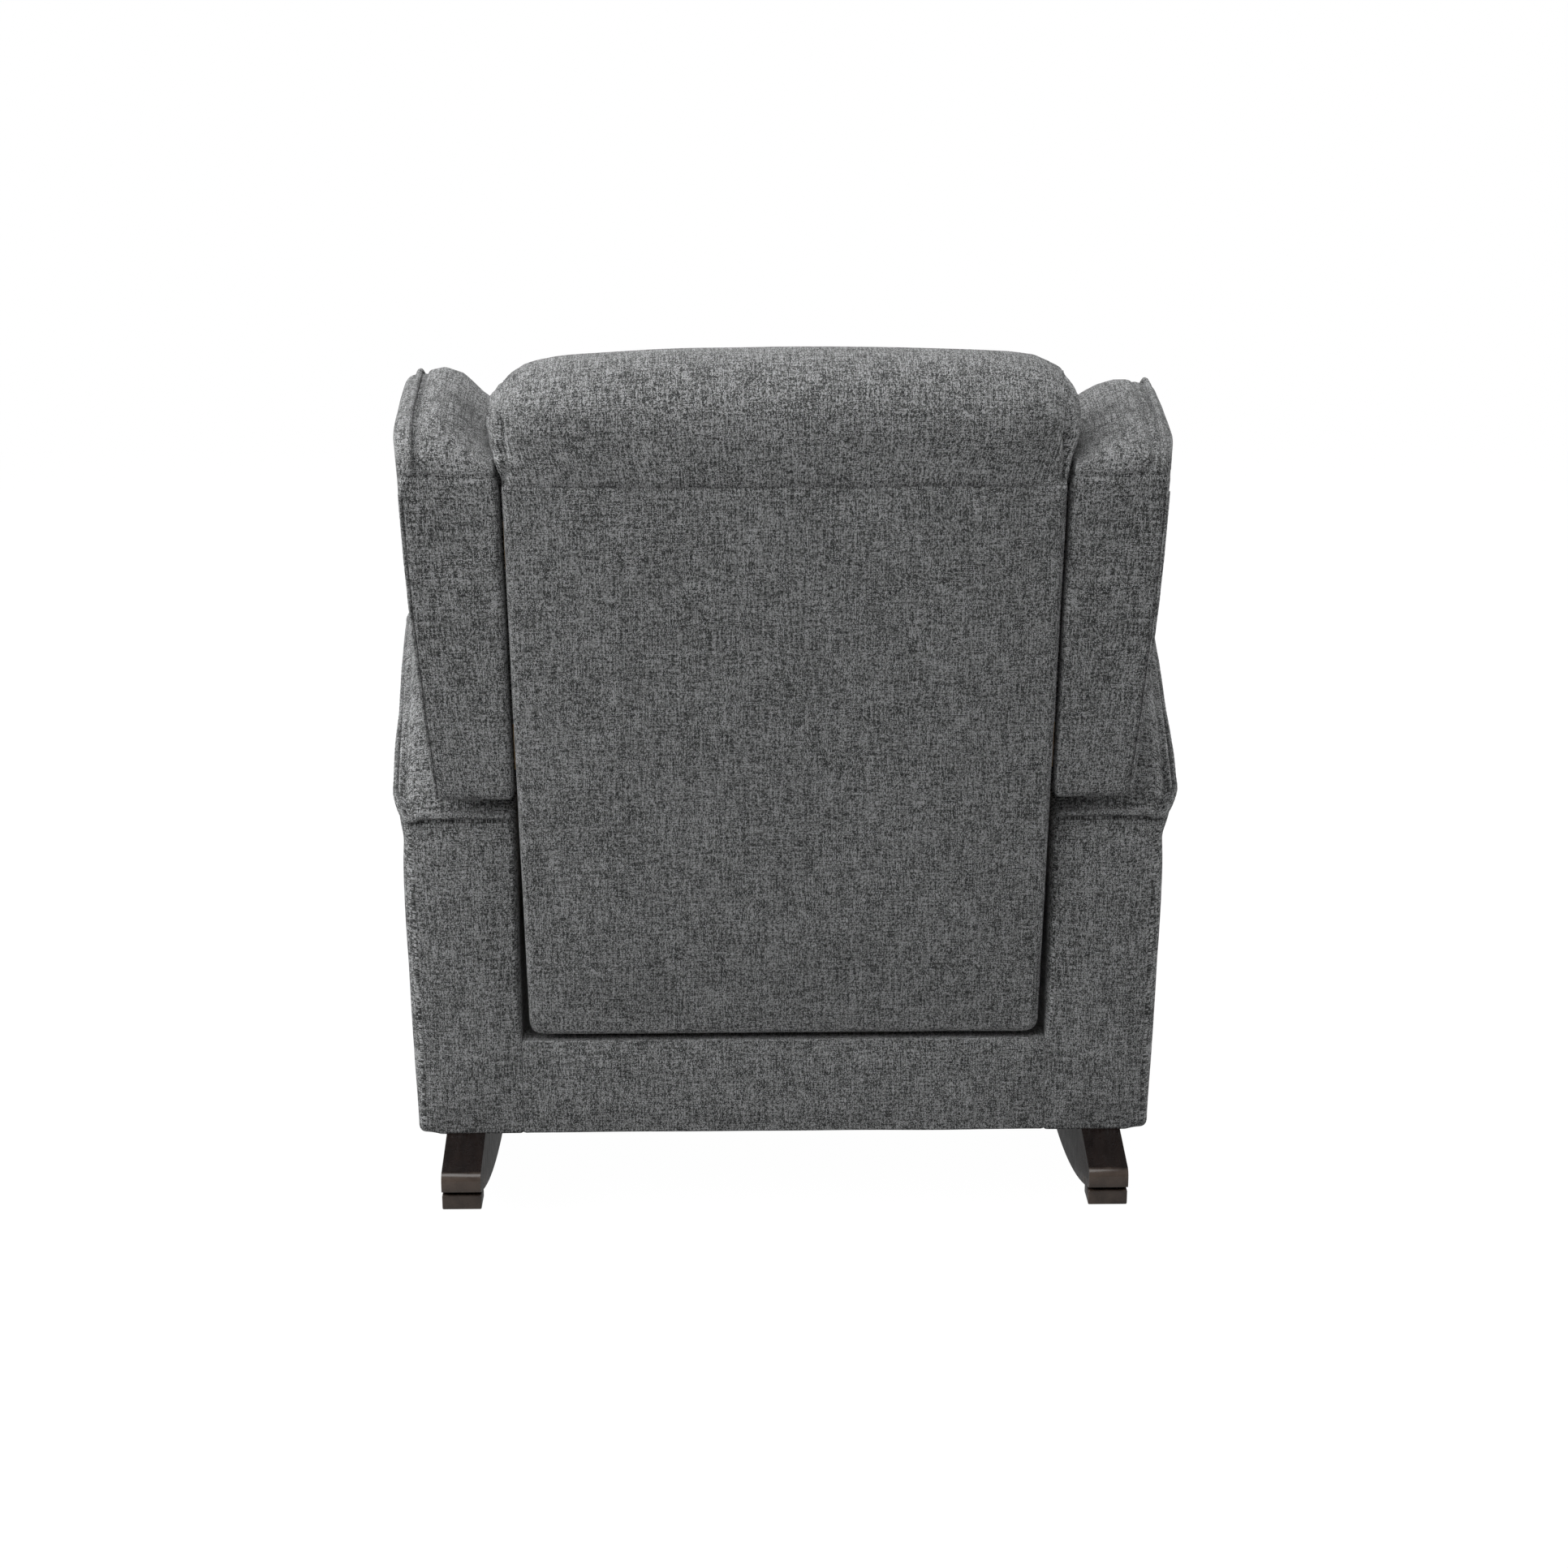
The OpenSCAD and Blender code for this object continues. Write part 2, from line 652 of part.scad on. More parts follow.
back_cushion_r = 28;
cushion_low = in_back([rear_y, cushion_z + cushion_t + back_clear])[1];
module back_cushion() {
  color(fabric) leaning() translate([0, stile_y - back_cushion_t - seat_gap, cushion_low])
    linear_extrude(seam_h - cushion_low - seat_gap)
      polygon(round_rect(2 * (back_half(0) - 1), back_cushion_t, back_cushion_r, 6));
}

// Jute bands stretched between the stiles, clear of the cross rails.
webbing_t = 2;
webbing_w = 50;
webbing_zs = [lumbar_z - 180, lumbar_z - 80, lumbar_z + 100];
module back_webbing() {
  half = stile_x - seat_gap;
  color(jute) for (z = webbing_zs) leaning() translate([-half, stile_y + 4, z]) cube([2 * half, webbing_t, webbing_w]);
}

// Short timbers that carry a wing from the back's stile.
module wing_rail() {
  inner = stile_x + stile_t;
  leaning() for (z = [wing_rail_low, wing_rail_high]) upright(stile_y, stile_d)
    polygon([[inner, z], [back_half(z), z], [back_half(z + cross_h), z + cross_h], [inner, z + cross_h]]);
}

module wing_rail_left() { color(timber) wing_rail(); }
module wing_rail_right() { color(timber) mirror([1, 0, 0]) wing_rail(); }
module back_stile_left() { color(timber) back_stile(); }
module back_stile_right() { color(timber) mirror([1, 0, 0]) back_stile(); }
module back_top_rail() { color(timber) back_cross(seam_h - stile_rise, cross_h); }
module back_lumbar_rail() { color(timber) back_cross(lumbar_z, cross_h); }
module back_bottom_rail() { color(timber) back_cross(stile_z, cross_h); }

// Steel bracket: a strap in the plane of the lower links, held off the stile by spacers.
strap_w = 20;
strap_len = 130;
spacer_r = 8;
module back_bracket() {
  up = [sin(lean), cos(lean)];
  top = back_pivot + strap_len * up;
  mid = back_pivot + (strap_len - 60) * up;
  difference() {
    slab(lower_x, link_t) bar([drive_pin, back_pivot, top], strap_w);
    x_rod(back_pivot, lower_x - 1, link_t + 2, pin_hole);
  }
  pin_between(drive_pin, upper_x, lower_x);
  for (p = [mid, top]) x_rod(p, stile_x + stile_t, lower_x - stile_x - stile_t, spacer_r);
}

module back_bracket_left() { color(steel) back_bracket(); }
module back_bracket_right() { color(steel) mirror([1, 0, 0]) back_bracket(); }

/* Wings */
// Outline of a wing from the side. Its lower edge runs above the arm.
wing_crest_y = -200;
wing_rear_y = -6;
wing_knee_h = seam_h - 8;
wing_nose_h = 90;
wing_chin_d = 40;
wing_chin_h = 60;
function wing_low(y) = in_back([rear_y + y, arm_line(rear_y + y) + wing_gap]);
module wing_outline(inset) {
  low_steps = 8;
  offset_front = wing_d - inset;
  polygon(concat(
    [for (i = [0:low_steps]) wing_low(wing_rear_y - inset - (offset_front - wing_chin_d) * i / low_steps) + [0, inset]],
    [[-offset_front, wing_low(-offset_front)[1] + wing_chin_h]],
    [for (i = [0:4]) let (a = 180 - 22.5 * i) [wing_crest_y + (wing_d + wing_crest_y - inset) * cos(a),
      wing_crest_h - wing_nose_h + (wing_nose_h - inset) * sin(a)]],
    [for (i = [1:8]) let (a = 90 - 11.25 * i) [wing_crest_y - (wing_crest_y - wing_rear_y + inset) * cos(a),
      wing_knee_h + (wing_crest_h - wing_knee_h - inset) * sin(a)]]));
}

wing_split = 334;
wing_ply = 15;
wing_side_gap = seat_gap;
wing_out_low = 358;
wing_taper = 18;
wing_inset = 20;
wing_out_high = 397;
module wing_part(x0, x1, inset) {
  leaning() intersection() {
    slab(x0, x1 - x0) wing_outline(inset);
    upright(-wing_d - 10, wing_d + 20) polygon([
      [back_half(0) + wing_side_gap, 0], [wing_out_low, 0],
      [wing_out_high, seam_h - 20], [wing_out_high, seam_h + 10], [wing_out_high - wing_taper, back_h],
      [roll_w / 2 + wing_side_gap, back_h], [roll_w / 2 + wing_side_gap, seam_h + roll_shoulder],
      [back_half(seam_h) + wing_side_gap, seam_h]]);
  }
}

module wing_frame() { wing_part(wing_split, wing_split + wing_ply, wing_inset); }
module wing_inside_pad() { wing_part(0, wing_split, 0); }
module wing_outside_pad() { wing_part(wing_split + wing_ply, wing_out_high + 1, 0); }
module wing_frame_left() { color(timber) wing_frame(); }
module wing_frame_right() { color(timber) mirror([1, 0, 0]) wing_frame(); }
module wing_inside_pad_left() { color(fabric) wing_inside_pad(); }
module wing_inside_pad_right() { color(fabric) mirror([1, 0, 0]) wing_inside_pad(); }
module wing_outside_pad_left() { color(fabric) wing_outside_pad(); }
module wing_outside_pad_right() { color(fabric) mirror([1, 0, 0]) wing_outside_pad(); }

rocker_left();
rocker_right();
stop_block_left();
stop_block_right();
rocker_bolts();
arm_frame_left();
arm_frame_right();
arm_outside_panel_left();
arm_outside_panel_right();
arm_inside_pad_left();
arm_inside_pad_right();
arm_top_pad_left();
arm_top_pad_right();
arm_front_pad_left();
arm_front_pad_right();
arm_rear_panel_left();
arm_rear_panel_right();
rear_rail();
rear_rail_panel();
front_seat_rail();
rear_seat_rail();
seat_side_rail_left();
seat_side_rail_right();
corner_blocks();
seat_springs();
seat_cushion();
mechanism_plate_left();
mechanism_plate_right();
pivot_pins();
back_stile_left();
back_stile_right();
back_top_rail();
back_lumbar_rail();
back_bottom_rail();
back_webbing();
wing_rail_left();
wing_rail_right();
back_panel();
back_cushion();
back_roll();
back_bracket_left();
back_bracket_right();
wing_frame_left();
wing_frame_right();
wing_inside_pad_left();
wing_inside_pad_right();
wing_outside_pad_left();
wing_outside_pad_right();
drive_rods();
footrest_lower_links();
footrest_guide_links();
footrest_upper_links();
footrest_tilt_links();
footrest_brackets();
footrest_board();
footrest_pad();
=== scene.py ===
"""Looks of an upholstered wing chair on rockers, laid out as a Blender add-on."""

import math

import bmesh
import bpy
import numpy as np
from bpy.props import FloatProperty, PointerProperty, StringProperty
from mathutils import Matrix, Vector, noise


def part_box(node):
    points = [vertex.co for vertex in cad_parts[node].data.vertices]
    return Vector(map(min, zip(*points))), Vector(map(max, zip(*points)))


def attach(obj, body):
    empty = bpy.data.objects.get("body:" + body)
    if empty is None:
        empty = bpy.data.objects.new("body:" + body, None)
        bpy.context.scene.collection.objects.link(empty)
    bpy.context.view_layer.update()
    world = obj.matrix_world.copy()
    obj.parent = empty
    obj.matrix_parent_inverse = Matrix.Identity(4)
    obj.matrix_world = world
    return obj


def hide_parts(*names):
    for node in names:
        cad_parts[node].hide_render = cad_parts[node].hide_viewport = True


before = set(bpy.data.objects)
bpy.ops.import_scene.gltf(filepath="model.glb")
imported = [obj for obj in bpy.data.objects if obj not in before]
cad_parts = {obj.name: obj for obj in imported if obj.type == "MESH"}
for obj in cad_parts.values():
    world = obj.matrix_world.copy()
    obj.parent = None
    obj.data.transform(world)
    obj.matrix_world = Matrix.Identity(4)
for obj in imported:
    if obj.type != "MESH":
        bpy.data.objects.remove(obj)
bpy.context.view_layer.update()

bl_info = {
    "name": "Wing Rocker Upholstery",
    "version": (1, 0, 0),
    "blender": (4, 5, 0),
    "location": "3D View > Sidebar > Chair",
    "description": "Builds the linen covers, welts, lacquer and steel of a reclining wing rocker",
    "category": "Object",
}

MM = 0.001
SIDES = {"left": 1.0, "right": -1.0}

# Key places, read from the CAD frame.
REAR_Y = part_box("rear_rail_panel")[1][1]
BASE_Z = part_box("rear_rail_panel")[0][2]
RAIL_TOP_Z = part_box("rear_rail_panel")[1][2]
FRONT_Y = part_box("arm_front_pad_left")[0][1]
ARM_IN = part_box("arm_rear_panel_left")[0][0]
ARM_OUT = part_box("arm_rear_panel_left")[1][0]
ARM_OUT_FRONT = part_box("arm_front_pad_left")[1][0]
ARM_TOP_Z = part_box("arm_top_pad_left")[1][2]
BACK_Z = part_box("back_panel")[0][2]
SEAT_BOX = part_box("seat_cushion")
FOOT_BOX = (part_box("footrest_pad")[0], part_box("footrest_board")[1])
BACK_FOOT_Z = BACK_Z - 1 * MM

# Sizes of the covers' shapes that nobody would change.
PANEL_LOW_HALF = 274.5 * MM
PANEL_TOP_HALF = 287 * MM
ROLL_HALF = 301 * MM
ROLL_SEAM_X = 287 * MM
WING_SPAN = 100 * MM
WING_KNEE = 12 * MM
WING_FOLD_PLACE = 97.5 * MM
WING_DROPS = {"left": [42, 31, 12, 6, 10, 18], "right": [46, 38, 27, 22, 22, 30]}
WING_WELT_PLACES = {"left": 86 * MM, "right": 91 * MM}
ARM_LIPS = {"left": 9, "right": 16}


def srgb(code):
    """Turn an sRGB hex colour into the linear colour that shaders take."""
    parts = [int(code[i:i + 2], 16) / 255 for i in (1, 3, 5)]
    return tuple(c / 12.92 if c <= 0.04045 else ((c + 0.055) / 1.055) ** 2.4 for c in parts) + (1.0,)


class ChairSizes(bpy.types.PropertyGroup):
    """Sizes of the soft covers that the frame doesn't fix."""

    lean: FloatProperty(name="Lean", description="Rearward lean of the back",
                        default=math.radians(5), subtype="ANGLE")
    welt: FloatProperty(name="Welt", description="Diameter of the covered welt cord",
                        default=6.5 * MM, unit="LENGTH")
    arm_rear: FloatProperty(name="Arm height at the rear", description="Height of the rear welt",
                            default=459 * MM, unit="LENGTH")
    arm_rise: FloatProperty(name="Arm rise", description="Length over which the arm rises and flares",
                            default=330 * MM, unit="LENGTH")
    seam_height: FloatProperty(name="Seam height", description="Roll seam above the back's lower edge",
                               default=611 * MM, unit="LENGTH")
    back_height: FloatProperty(name="Back height", description="Height of the back along its slope",
                               default=733 * MM, unit="LENGTH")
    roll_depth: FloatProperty(name="Roll depth", description="Depth of the roll over the back",
                              default=150 * MM, unit="LENGTH")
    wing_depth: FloatProperty(name="Wing depth", description="Depth of a wing from rear to front",
                              default=270 * MM, unit="LENGTH")
    stitch_pitch: FloatProperty(name="Stitch pitch", description="Distance from stitch to stitch",
                                default=6 * MM, unit="LENGTH")


class ChairColours(bpy.types.PropertyGroup):
    """Colours of the finishes, as sRGB hex values."""

    yarn_dark: StringProperty(name="Dark yarn", description="Darkest yarn of the heather", default="#2a2b2c")
    yarn_mid: StringProperty(name="Middle yarn", description="Main yarn of the heather", default="#5e5f5e")
    yarn_light: StringProperty(name="Light yarn", description="Palest yarn of the heather", default="#a6a7a8")
    # This colour paints the rockers' rubbed edges and also the painted highlight on their noses.
    stain: StringProperty(name="Espresso stain", description="Stained rocker wood", default="#0f0908")
    wear_and_highlight: StringProperty(name="Worn stain", description="Rubbed edges of the rocker", default="#6d5f55")
    timber: StringProperty(name="Frame timber", description="Unfinished hardwood", default="#b8935f")
    zinc: StringProperty(name="Zinc plate", description="Plated steel of the linkage", default="#9a9da0")


def sizes():
    """The chair's sizes, as set on the scene."""
    return bpy.context.scene.chair_sizes


def colours():
    """The chair's colours, as set on the scene."""
    return bpy.context.scene.chair_colours


# ---------------------------------------------------------------- materials

def node(tree, kind, sockets=None, **settings):
    """Add a node with its settings. A socket's value may be another node's output, which is linked."""
    made = tree.nodes.new(kind)
    for key, value in settings.items():
        setattr(made, key, value)
    for key, value in (sockets or {}).items():
        if isinstance(value, bpy.types.NodeSocket):
            tree.links.new(value, made.inputs[key])
        else:
            made.inputs[key].default_value = value
    return made


def new_material(name):
    """An empty node material with its output, and the tree."""
    material = bpy.data.materials.new(name)
    material.use_nodes = True
    material.node_tree.nodes.clear()
    return material, material.node_tree


def maths(tree, operation, first, second=0.0):
    """The output of one Math node."""
    return node(tree, "ShaderNodeMath", {0: first, 1: second}, operation=operation).outputs[0]


def ramp(tree, fac, stops):
    """A colour ramp through (place, hex colour) stops."""
    made = node(tree, "ShaderNodeValToRGB", {"Fac": fac})
    elements = made.color_ramp.elements
    while len(elements) < len(stops):
        elements.new(0.5)
    for element, (place, code) in zip(elements, stops):
        element.position = place
        element.color = srgb(code)
    return made.outputs["Color"]


def noise_tone(tree, vector, scale, detail=2.0):
    """The value of a noise texture."""
    return node(tree, "ShaderNodeTexNoise", {"Vector": vector, "Scale": scale, "Detail": detail}).outputs[0]


def span(tree, value, low, high, to_low=0.0, to_high=1.0):
    """A value carried from one range to another, held at its ends."""
    return node(tree, "ShaderNodeMapRange", {0: value, 1: low, 2: high, 3: to_low, 4: to_high}).outputs[0]


def object_space(tree, scale=None):
    """The object's own coordinates, stretched by a scale if one is given."""
    place = node(tree, "ShaderNodeTexCoord").outputs["Object"]
    if scale is None:
        return place
    return node(tree, "ShaderNodeMapping", {"Vector": place, "Scale": scale}).outputs[0]


def finish_material(tree, **sockets):
    """A Principled shader on the material's output."""
    names = {key.replace("_", " "): value for key, value in sockets.items()}
    shader = node(tree, "ShaderNodeBsdfPrincipled", names)
    node(tree, "ShaderNodeOutputMaterial", {"Surface": shader.outputs[0]})
    return shader


def heathered_linen(name, shade=1.0):
    """Plain-woven polyester linen: slubby two-tone yarns, matt, with painted shade darkening the gaps between the
    yarns; a shade below 1 darkens the whole cloth as painted shade.
    """
    material, tree = new_material(name)
    yarn_pitch = 0.85 * MM
    uv = node(tree, "ShaderNodeUVMap", uv_map="weave").outputs[0]
    wobble = node(tree, "ShaderNodeTexNoise", {"Vector": uv, "Scale": 60.0, "Detail": 1.0})
    shift = node(tree, "ShaderNodeVectorMath", {0: wobble.outputs["Color"], 1: (0.5, 0.5, 0.5)},
                 operation="SUBTRACT").outputs[0]
    loose = node(tree, "ShaderNodeVectorMath", {0: shift, "Scale": 0.6 * MM}, operation="SCALE").outputs[0]
    warped = node(tree, "ShaderNodeVectorMath", {0: uv, 1: loose}, operation="ADD").outputs[0]
    split = node(tree, "ShaderNodeSeparateXYZ", {0: warped}).outputs
    across = maths(tree, "DIVIDE", split[0], yarn_pitch)
    along = maths(tree, "DIVIDE", split[1], yarn_pitch)

    def yarn(count, run, slub, offset):
        """Tone of one set of yarns: short slubs over a slower drift, apart from yarn to yarn."""
        row = maths(tree, "MULTIPLY", maths(tree, "FLOOR", count), 7.3)
        tones = []
        for length, extra in ((slub, 0.0), (slub * 8, 40.0)):
            place = node(tree, "ShaderNodeCombineXYZ", {
                0: row, 1: maths(tree, "DIVIDE", run, length), 2: offset + extra}).outputs[0]
            tones.append(noise_tone(tree, place, 1.0, 1.0))
        return maths(tree, "ADD", maths(tree, "MULTIPLY", tones[0], 0.6),
                     maths(tree, "MULTIPLY", tones[1], 0.4))

    warp = yarn(across, split[1], 3.4 * MM, 0.0)
    weft = yarn(along, split[0], 2.6 * MM, 9.0)
    wave_a = maths(tree, "SINE", maths(tree, "MULTIPLY", across, math.pi))
    wave_b = maths(tree, "SINE", maths(tree, "MULTIPLY", along, math.pi))
    over = maths(tree, "MULTIPLY", wave_a, wave_b)
    on_top = span(tree, over, -0.2, 0.35)
    tone = node(tree, "ShaderNodeMix", {0: on_top, 2: warp, 3: weft}).outputs[0]
    patch = noise_tone(tree, uv, 14.0, 3.0)
    tone = maths(tree, "ADD", tone, maths(tree, "MULTIPLY", maths(tree, "SUBTRACT", patch, 0.5), 0.04))
    tint = colours()
    colour = ramp(tree, tone, [(0.435, tint.yarn_dark), (0.50, tint.yarn_mid), (0.56, tint.yarn_light)])
    # Painted shade: the colour darkens to 0.68 where the yarns dip apart, standing in for the shade between them,
    # then by the shade factor.
    yarn_gap_shade = span(tree, maths(tree, "ABSOLUTE", over), 0.0, 0.45, 0.68)
    shaded = node(tree, "ShaderNodeHueSaturation", {
        "Value": maths(tree, "MULTIPLY", yarn_gap_shade, shade), "Color": colour}).outputs[0]
    height = maths(tree, "ADD", maths(tree, "ABSOLUTE", over), maths(tree, "MULTIPLY", tone, 0.9))
    bump = node(tree, "ShaderNodeBump", {"Strength": 0.4, "Distance": 0.6 * MM, "Height": height})
    finish_material(tree, Base_Color=shaded, Roughness=0.92, Specular_IOR_Level=0.25,
                    Sheen_Weight=0.1, Sheen_Roughness=0.5, Normal=bump.outputs[0])
    return material


def espresso_lacquer():
    """Rubberwood stained near black under gloss lacquer: grain barely shows, edges are rubbed brown, and the nose
    at each rocker's rear is painted lighter, partly as wear and partly as painted highlight.
    """
    material, tree = new_material("espresso_lacquer")
    place = object_space(tree)
    grain = noise_tone(tree, object_space(tree, (120.0, 6.0, 120.0)), 1.0, 5.0)
    rub = noise_tone(tree, place, 70.0, 5.0)
    edge = node(tree, "ShaderNodeNewGeometry").outputs["Pointiness"]
    depth = node(tree, "ShaderNodeSeparateXYZ", {0: place}).outputs[1]
    # Painted highlight and wear: the nose beyond the rear is pushed towards the lighter colour by its place
    # alone, on top of the rubbed edges.
    nose_wear_and_highlight = span(tree, depth, REAR_Y + 70 * MM, REAR_Y + 82 * MM, 0.0, 0.12)
    edge = maths(tree, "ADD", edge, nose_wear_and_highlight)
    wear_and_highlight = span(tree, maths(tree, "ADD", edge, maths(tree, "MULTIPLY", rub, 0.12)), 0.62, 0.74, 0.0, 0.55)
    tint = colours()
    dark = ramp(tree, grain, [(0.3, tint.stain), (0.7, "#1c1310")])
    colour = node(tree, "ShaderNodeMix", {0: wear_and_highlight, 6: dark, 7: srgb(tint.wear_and_highlight)},
                  data_type="RGBA").outputs[2]
    bump = node(tree, "ShaderNodeBump", {"Strength": 0.06, "Distance": 0.3 * MM, "Height": grain})
    rough = span(tree, rub, 0.3, 0.7, 0.2, 0.34)
    finish_material(tree, Base_Color=colour, Roughness=rough, Coat_Weight=0.2, Coat_Roughness=0.12,
                    Specular_IOR_Level=0.4, Normal=bump.outputs[0])
    return material


def sawn_timber():
    """Planed hardwood and ply left raw: pale, with long soft grain."""
    material, tree = new_material("sawn_hardwood")
    grain = noise_tone(tree, object_space(tree, (14.0, 90.0, 90.0)), 1.0, 6.0)
    colour = ramp(tree, grain, [(0.3, "#8f6c3f"), (0.5, colours().timber), (0.75, "#d0b283")])
    bump = node(tree, "ShaderNodeBump", {"Strength": 0.2, "Distance": 0.4 * MM, "Height": grain})
    finish_material(tree, Base_Color=colour, Roughness=0.75, Normal=bump.outputs[0])
    return material


def zinc_steel():
    """Pressed steel with a dull zinc plate: soft grey metal with fine rolling lines."""
    material, tree = new_material("zinc_plated_steel")
    lines = noise_tone(tree, object_space(tree, (60.0, 20.0, 700.0)), 1.0, 3.0)
    colour = ramp(tree, lines, [(0.3, "#7f8285"), (0.6, colours().zinc), (0.8, "#b4b6b8")])
    rough = span(tree, lines, 0.3, 0.7, 0.3, 0.45)
    finish_material(tree, Base_Color=colour, Metallic=1.0, Roughness=rough)
    return material


def jute():
    """Jute webbing: coarse buff weave with stout ribs."""
    material, tree = new_material("jute_webbing")
    rib = node(tree, "ShaderNodeTexWave",
               {"Vector": object_space(tree), "Scale": 90.0, "Distortion": 0.6}).outputs[1]
    colour = ramp(tree, rib, [(0.2, "#74643f"), (0.8, "#a8966b")])
    bump = node(tree, "ShaderNodeBump", {"Strength": 0.5, "Distance": 0.5 * MM, "Height": rib})
    finish_material(tree, Base_Color=colour, Roughness=0.9, Normal=bump.outputs[0])
    return material


def thread_material():
    """Spun polyester thread, a shade darker than the cloth."""
    material, tree = new_material("polyester_thread")
    twist = noise_tone(tree, object_space(tree), 900.0)
    colour = ramp(tree, twist, [(0.3, "#3b3c3c"), (0.7, "#5d5e5d")])
    finish_material(tree, Base_Color=colour, Roughness=0.6)
    return material


FINISHES = {}


def finish(name):
    """The finish of that name, made once."""
    makers = {"linen": lambda: heathered_linen("heathered_linen"),
              # The welt cloth is the same linen with painted shade, 4% darker, so the welts read apart from the
              # panels.
              "welt": lambda: heathered_linen("heathered_linen_welt_painted_shade", 0.96),
              "espresso": espresso_lacquer, "timber": sawn_timber, "zinc": zinc_steel,
              "jute": jute, "thread": thread_material}
    if name not in FINISHES:
        FINISHES[name] = makers[name]()
    return FINISHES[name]


# ---------------------------------------------------------------- soft forms

def smooth(t):
    """Ease from 0 to 1."""
    t = np.clip(t, 0, 1)
    return t * t * (3 - 2 * t)


def ease(distance, reach):
    """Ease from 0 to 1 while a distance grows to a reach in millimetres."""
    return smooth(distance / (reach * MM))


def run_along(points):
    """Length run along a row of points, from 0 at the first."""
    return np.concatenate([[0], np.cumsum(np.linalg.norm(np.diff(points, axis=0), axis=1))])


def rounded_outline(corners, step=4 * MM):
    """Even points round a polygon whose corners carry radii: (first, second, radius) each."""
    count = len(corners)
    points = []
    for i in range(count):
        before, here, after = (np.array(corners[(i + k) % count][:2]) for k in (-1, 0, 1))
        radius = corners[i][2]
        arriving = (before - here) / np.linalg.norm(before - here)
        leaving = (after - here) / np.linalg.norm(after - here)
        half = math.acos(np.clip(arriving @ leaving, -1, 1)) / 2
        reach = min(radius / max(math.tan(half), 1e-3), 0.49 * np.linalg.norm(before - here),
                    0.49 * np.linalg.norm(after - here))
        start, end = here + arriving * reach, here + leaving * reach
        for t in np.linspace(0, 1, 9):
            points.append((1 - t) ** 2 * start + 2 * t * (1 - t) * here + t * t * end)
    return even_loop(np.array(points), step)


def box_outline(low, high, radii, step=4 * MM):
    """A rounded rectangle between two corners, with a radius for its lower and its upper corners."""
    (x0, y0), (x1, y1) = low, high
    foot, head = radii
    return rounded_outline([(x0, y0, foot), (x1, y0, foot), (x1, y1, head), (x0, y1, head)], step)


def even_loop(points, step):
    """Points at an even spacing round a closed loop, turning anticlockwise."""
    closed = np.vstack([points, points[:1]])
    run = run_along(closed)
    count = max(24, int(run[-1] / step))
    places = np.linspace(0, run[-1], count, endpoint=False)
    loop = np.stack([np.interp(places, run, closed[:, k]) for k in range(2)], axis=1)
    area = np.sum(loop[:, 0] * np.roll(loop[:, 1], -1) - np.roll(loop[:, 0], -1) * loop[:, 1])
    return loop if area > 0 else loop[::-1]


def inward(loop):
    """Unit normals that point into an anticlockwise loop."""
    along = np.roll(loop, -1, axis=0) - np.roll(loop, 1, axis=0)
    along /= np.linalg.norm(along, axis=1)[:, None] + 1e-12
    return np.stack([-along[:, 1], along[:, 0]], axis=1)


